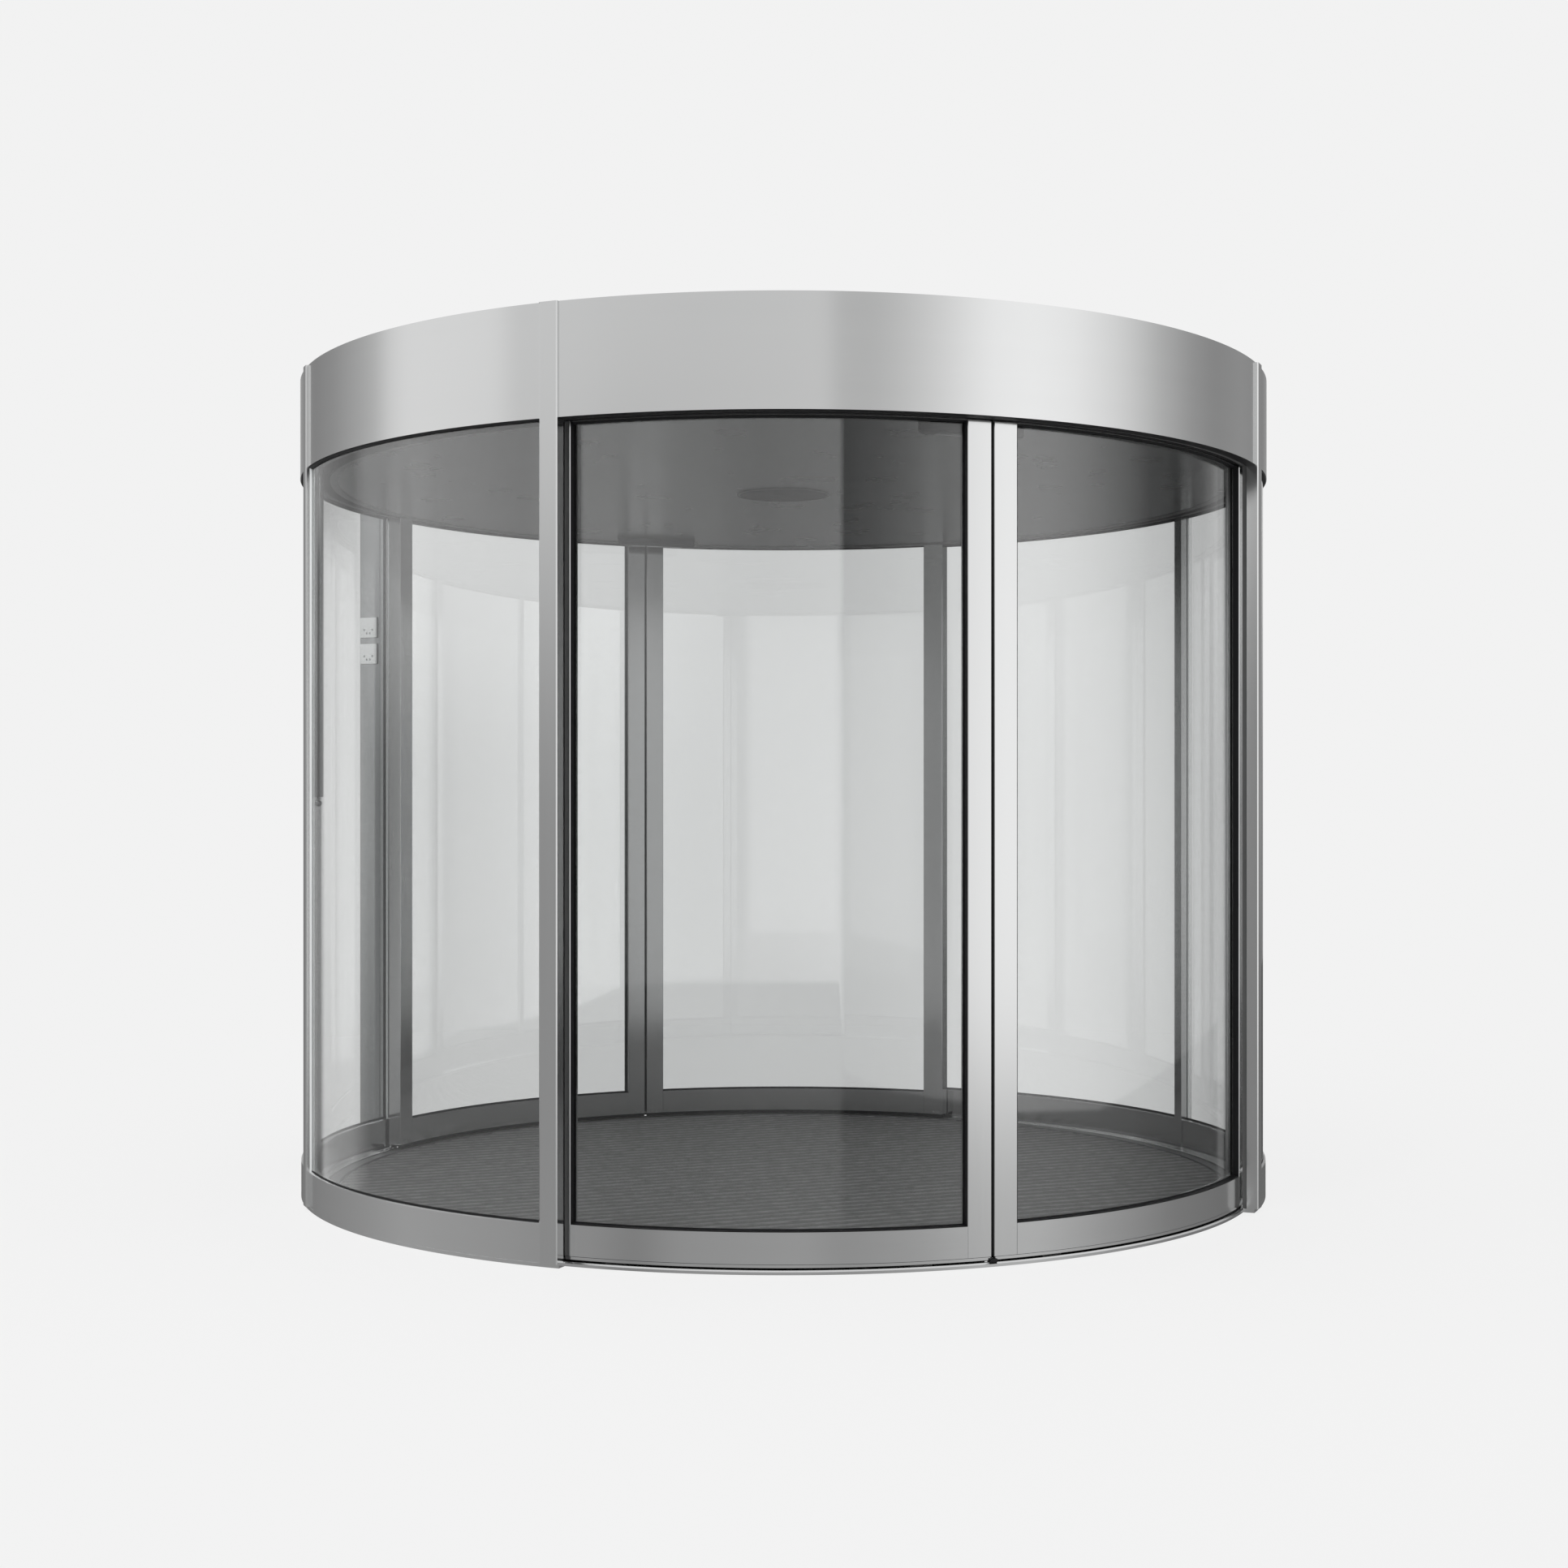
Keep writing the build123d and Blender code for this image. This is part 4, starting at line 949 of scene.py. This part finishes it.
skirting = panel(
    [(-180, 1.0), (180, 1.0)],
    [(-180, 1.0), (-17, 1.0), (-14.6, 0.42), (8.8, 0.35), (9, 0.55), (16.6, 0.28), (34, 0.26), (46, 0.26),
     (62, 0.25), (77, 0.05), (86, 0.05), (92, 0.2), (104, 0.3), (119, 0.3), (180, 0.3)],
    [(-180, 10.5), (16, 10.6), (34, 10.5), (46, 10.4), (60, 9.9), (80, 9.5), (100, 9.3), (119, 8.6),
     (180, 8.6)],
    [(-180, 0.08), (180, 0.08)],
)
ledge = reflector([
    (-180, 0.1), (-60, 0.1), (-40, 0.45), (-18, 0.25), (-16, 0.9), (8.8, 0.8), (9, 1.6), (16.6, 2.5),
    (34, 3.1), (46, 3.9), (62, 3.9), (77, 2.3), (92, 2.0), (119, 1.8), (180, 1.0),
], 4.0)
ledge_edge = reflector([
    (-180, 6.6), (-123, 6.2), (-66, 5.3), (-40, 5.0), (40, 5.0), (77, 5.4), (119, 6.1), (180, 6.1),
], 20.0)
above = maths(sky, "GREATER_THAN", elevation, ledge_edge)
rear_sees = maths(
    sky, "ADD", maths(sky, "MULTIPLY", ledge, above),
    maths(sky, "MULTIPLY", maths(sky, "MULTIPLY", rear_wall, skirting), maths(sky, "SUBTRACT", 1.0, above)),
)
light_path = sky.nodes.new("ShaderNodeLightPath")


def choose(switch, when_off, when_on):
    """One value or the other."""
    kept = maths(sky, "MULTIPLY", when_off, maths(sky, "SUBTRACT", 1.0, switch))
    return maths(sky, "ADD", kept, maths(sky, "MULTIPLY", when_on, switch))


# A ray that went in through a pane and out again has crossed four faces of glass, and six after a mirror
# image in the back of a rear pane.
BEHIND_PANE, BEHIND_REAR = 3.5, 5.5
overhead = add_node(
    sky, "MapRange", settings={"interpolation_type": "SMOOTHSTEP"}, Value=elevation, i1=18.0, i2=50.0
).outputs[0]
dimmed = add_node(sky, "MapRange", Value=elevation, i1=4.4, i2=5.6, i3=1.0, i4=0.6).outputs[0]
deep_inside = maths(sky, "GREATER_THAN", light_path.outputs["Transmission Depth"], BEHIND_PANE)
behind_rear = maths(sky, "GREATER_THAN", light_path.outputs["Transmission Depth"], BEHIND_REAR)
inner_view = choose(behind_rear, maths(sky, "MULTIPLY", inside_sees, dimmed), rear_sees)
through_glass = choose(deep_inside, glass_sees, inner_view)
mirrored = choose(light_path.outputs["Is Singular Ray"], metal_sees, through_glass)
mirrored = choose(overhead, mirrored, OVERHEAD)
ambient = add_node(sky, "MapRange", Value=elevation, i1=-30.0, i2=30.0, i3=0.75, i4=1.0).outputs[0]
was_mirrored = maths(sky, "GREATER_THAN", light_path.outputs["Glossy Depth"], 0.5)
was_scattered = maths(sky, "GREATER_THAN", light_path.outputs["Diffuse Depth"], 0.5)
seen = choose(was_scattered, choose(was_mirrored, BACKGROUND, mirrored), ambient)
room = sky.nodes["Background"]
sky.links.new(seen, room.inputs["Color"])

lamp_data = bpy.data.lights.new("studio_lamp", "AREA")
lamp_data.shape = "DISK"
lamp_data.size = 3.0
lamp_data.energy = 120.0
studio_lamp = bpy.data.objects.new("studio_lamp", lamp_data)
studio_lamp.visible_glossy = False
studio_lamp.location = (-4.0, -4.5, 6.0)
studio_lamp.rotation_euler = (Vector((0, 0, 0.9)) - studio_lamp.location).to_track_quat("-Z", "Y").to_euler()
bpy.context.scene.collection.objects.link(studio_lamp)

camera_data = bpy.data.cameras.new("camera")
camera_data.sensor_width = 36.0
camera_data.lens = 50.532
camera_data.shift_x = 0.00036
camera_data.shift_y = 0.0159
camera_data.clip_end = 500.0
camera = bpy.data.objects.new("camera", camera_data)
camera.location = (-2.6175, -6.5876, 1.1877)
camera.rotation_euler = (pi / 2.0, 0.0, radians(CAMERA_AZIMUTH - FRONT))
bpy.context.scene.collection.objects.link(camera)
bpy.context.scene.camera = camera
bpy.context.scene.view_settings.view_transform = "Standard"
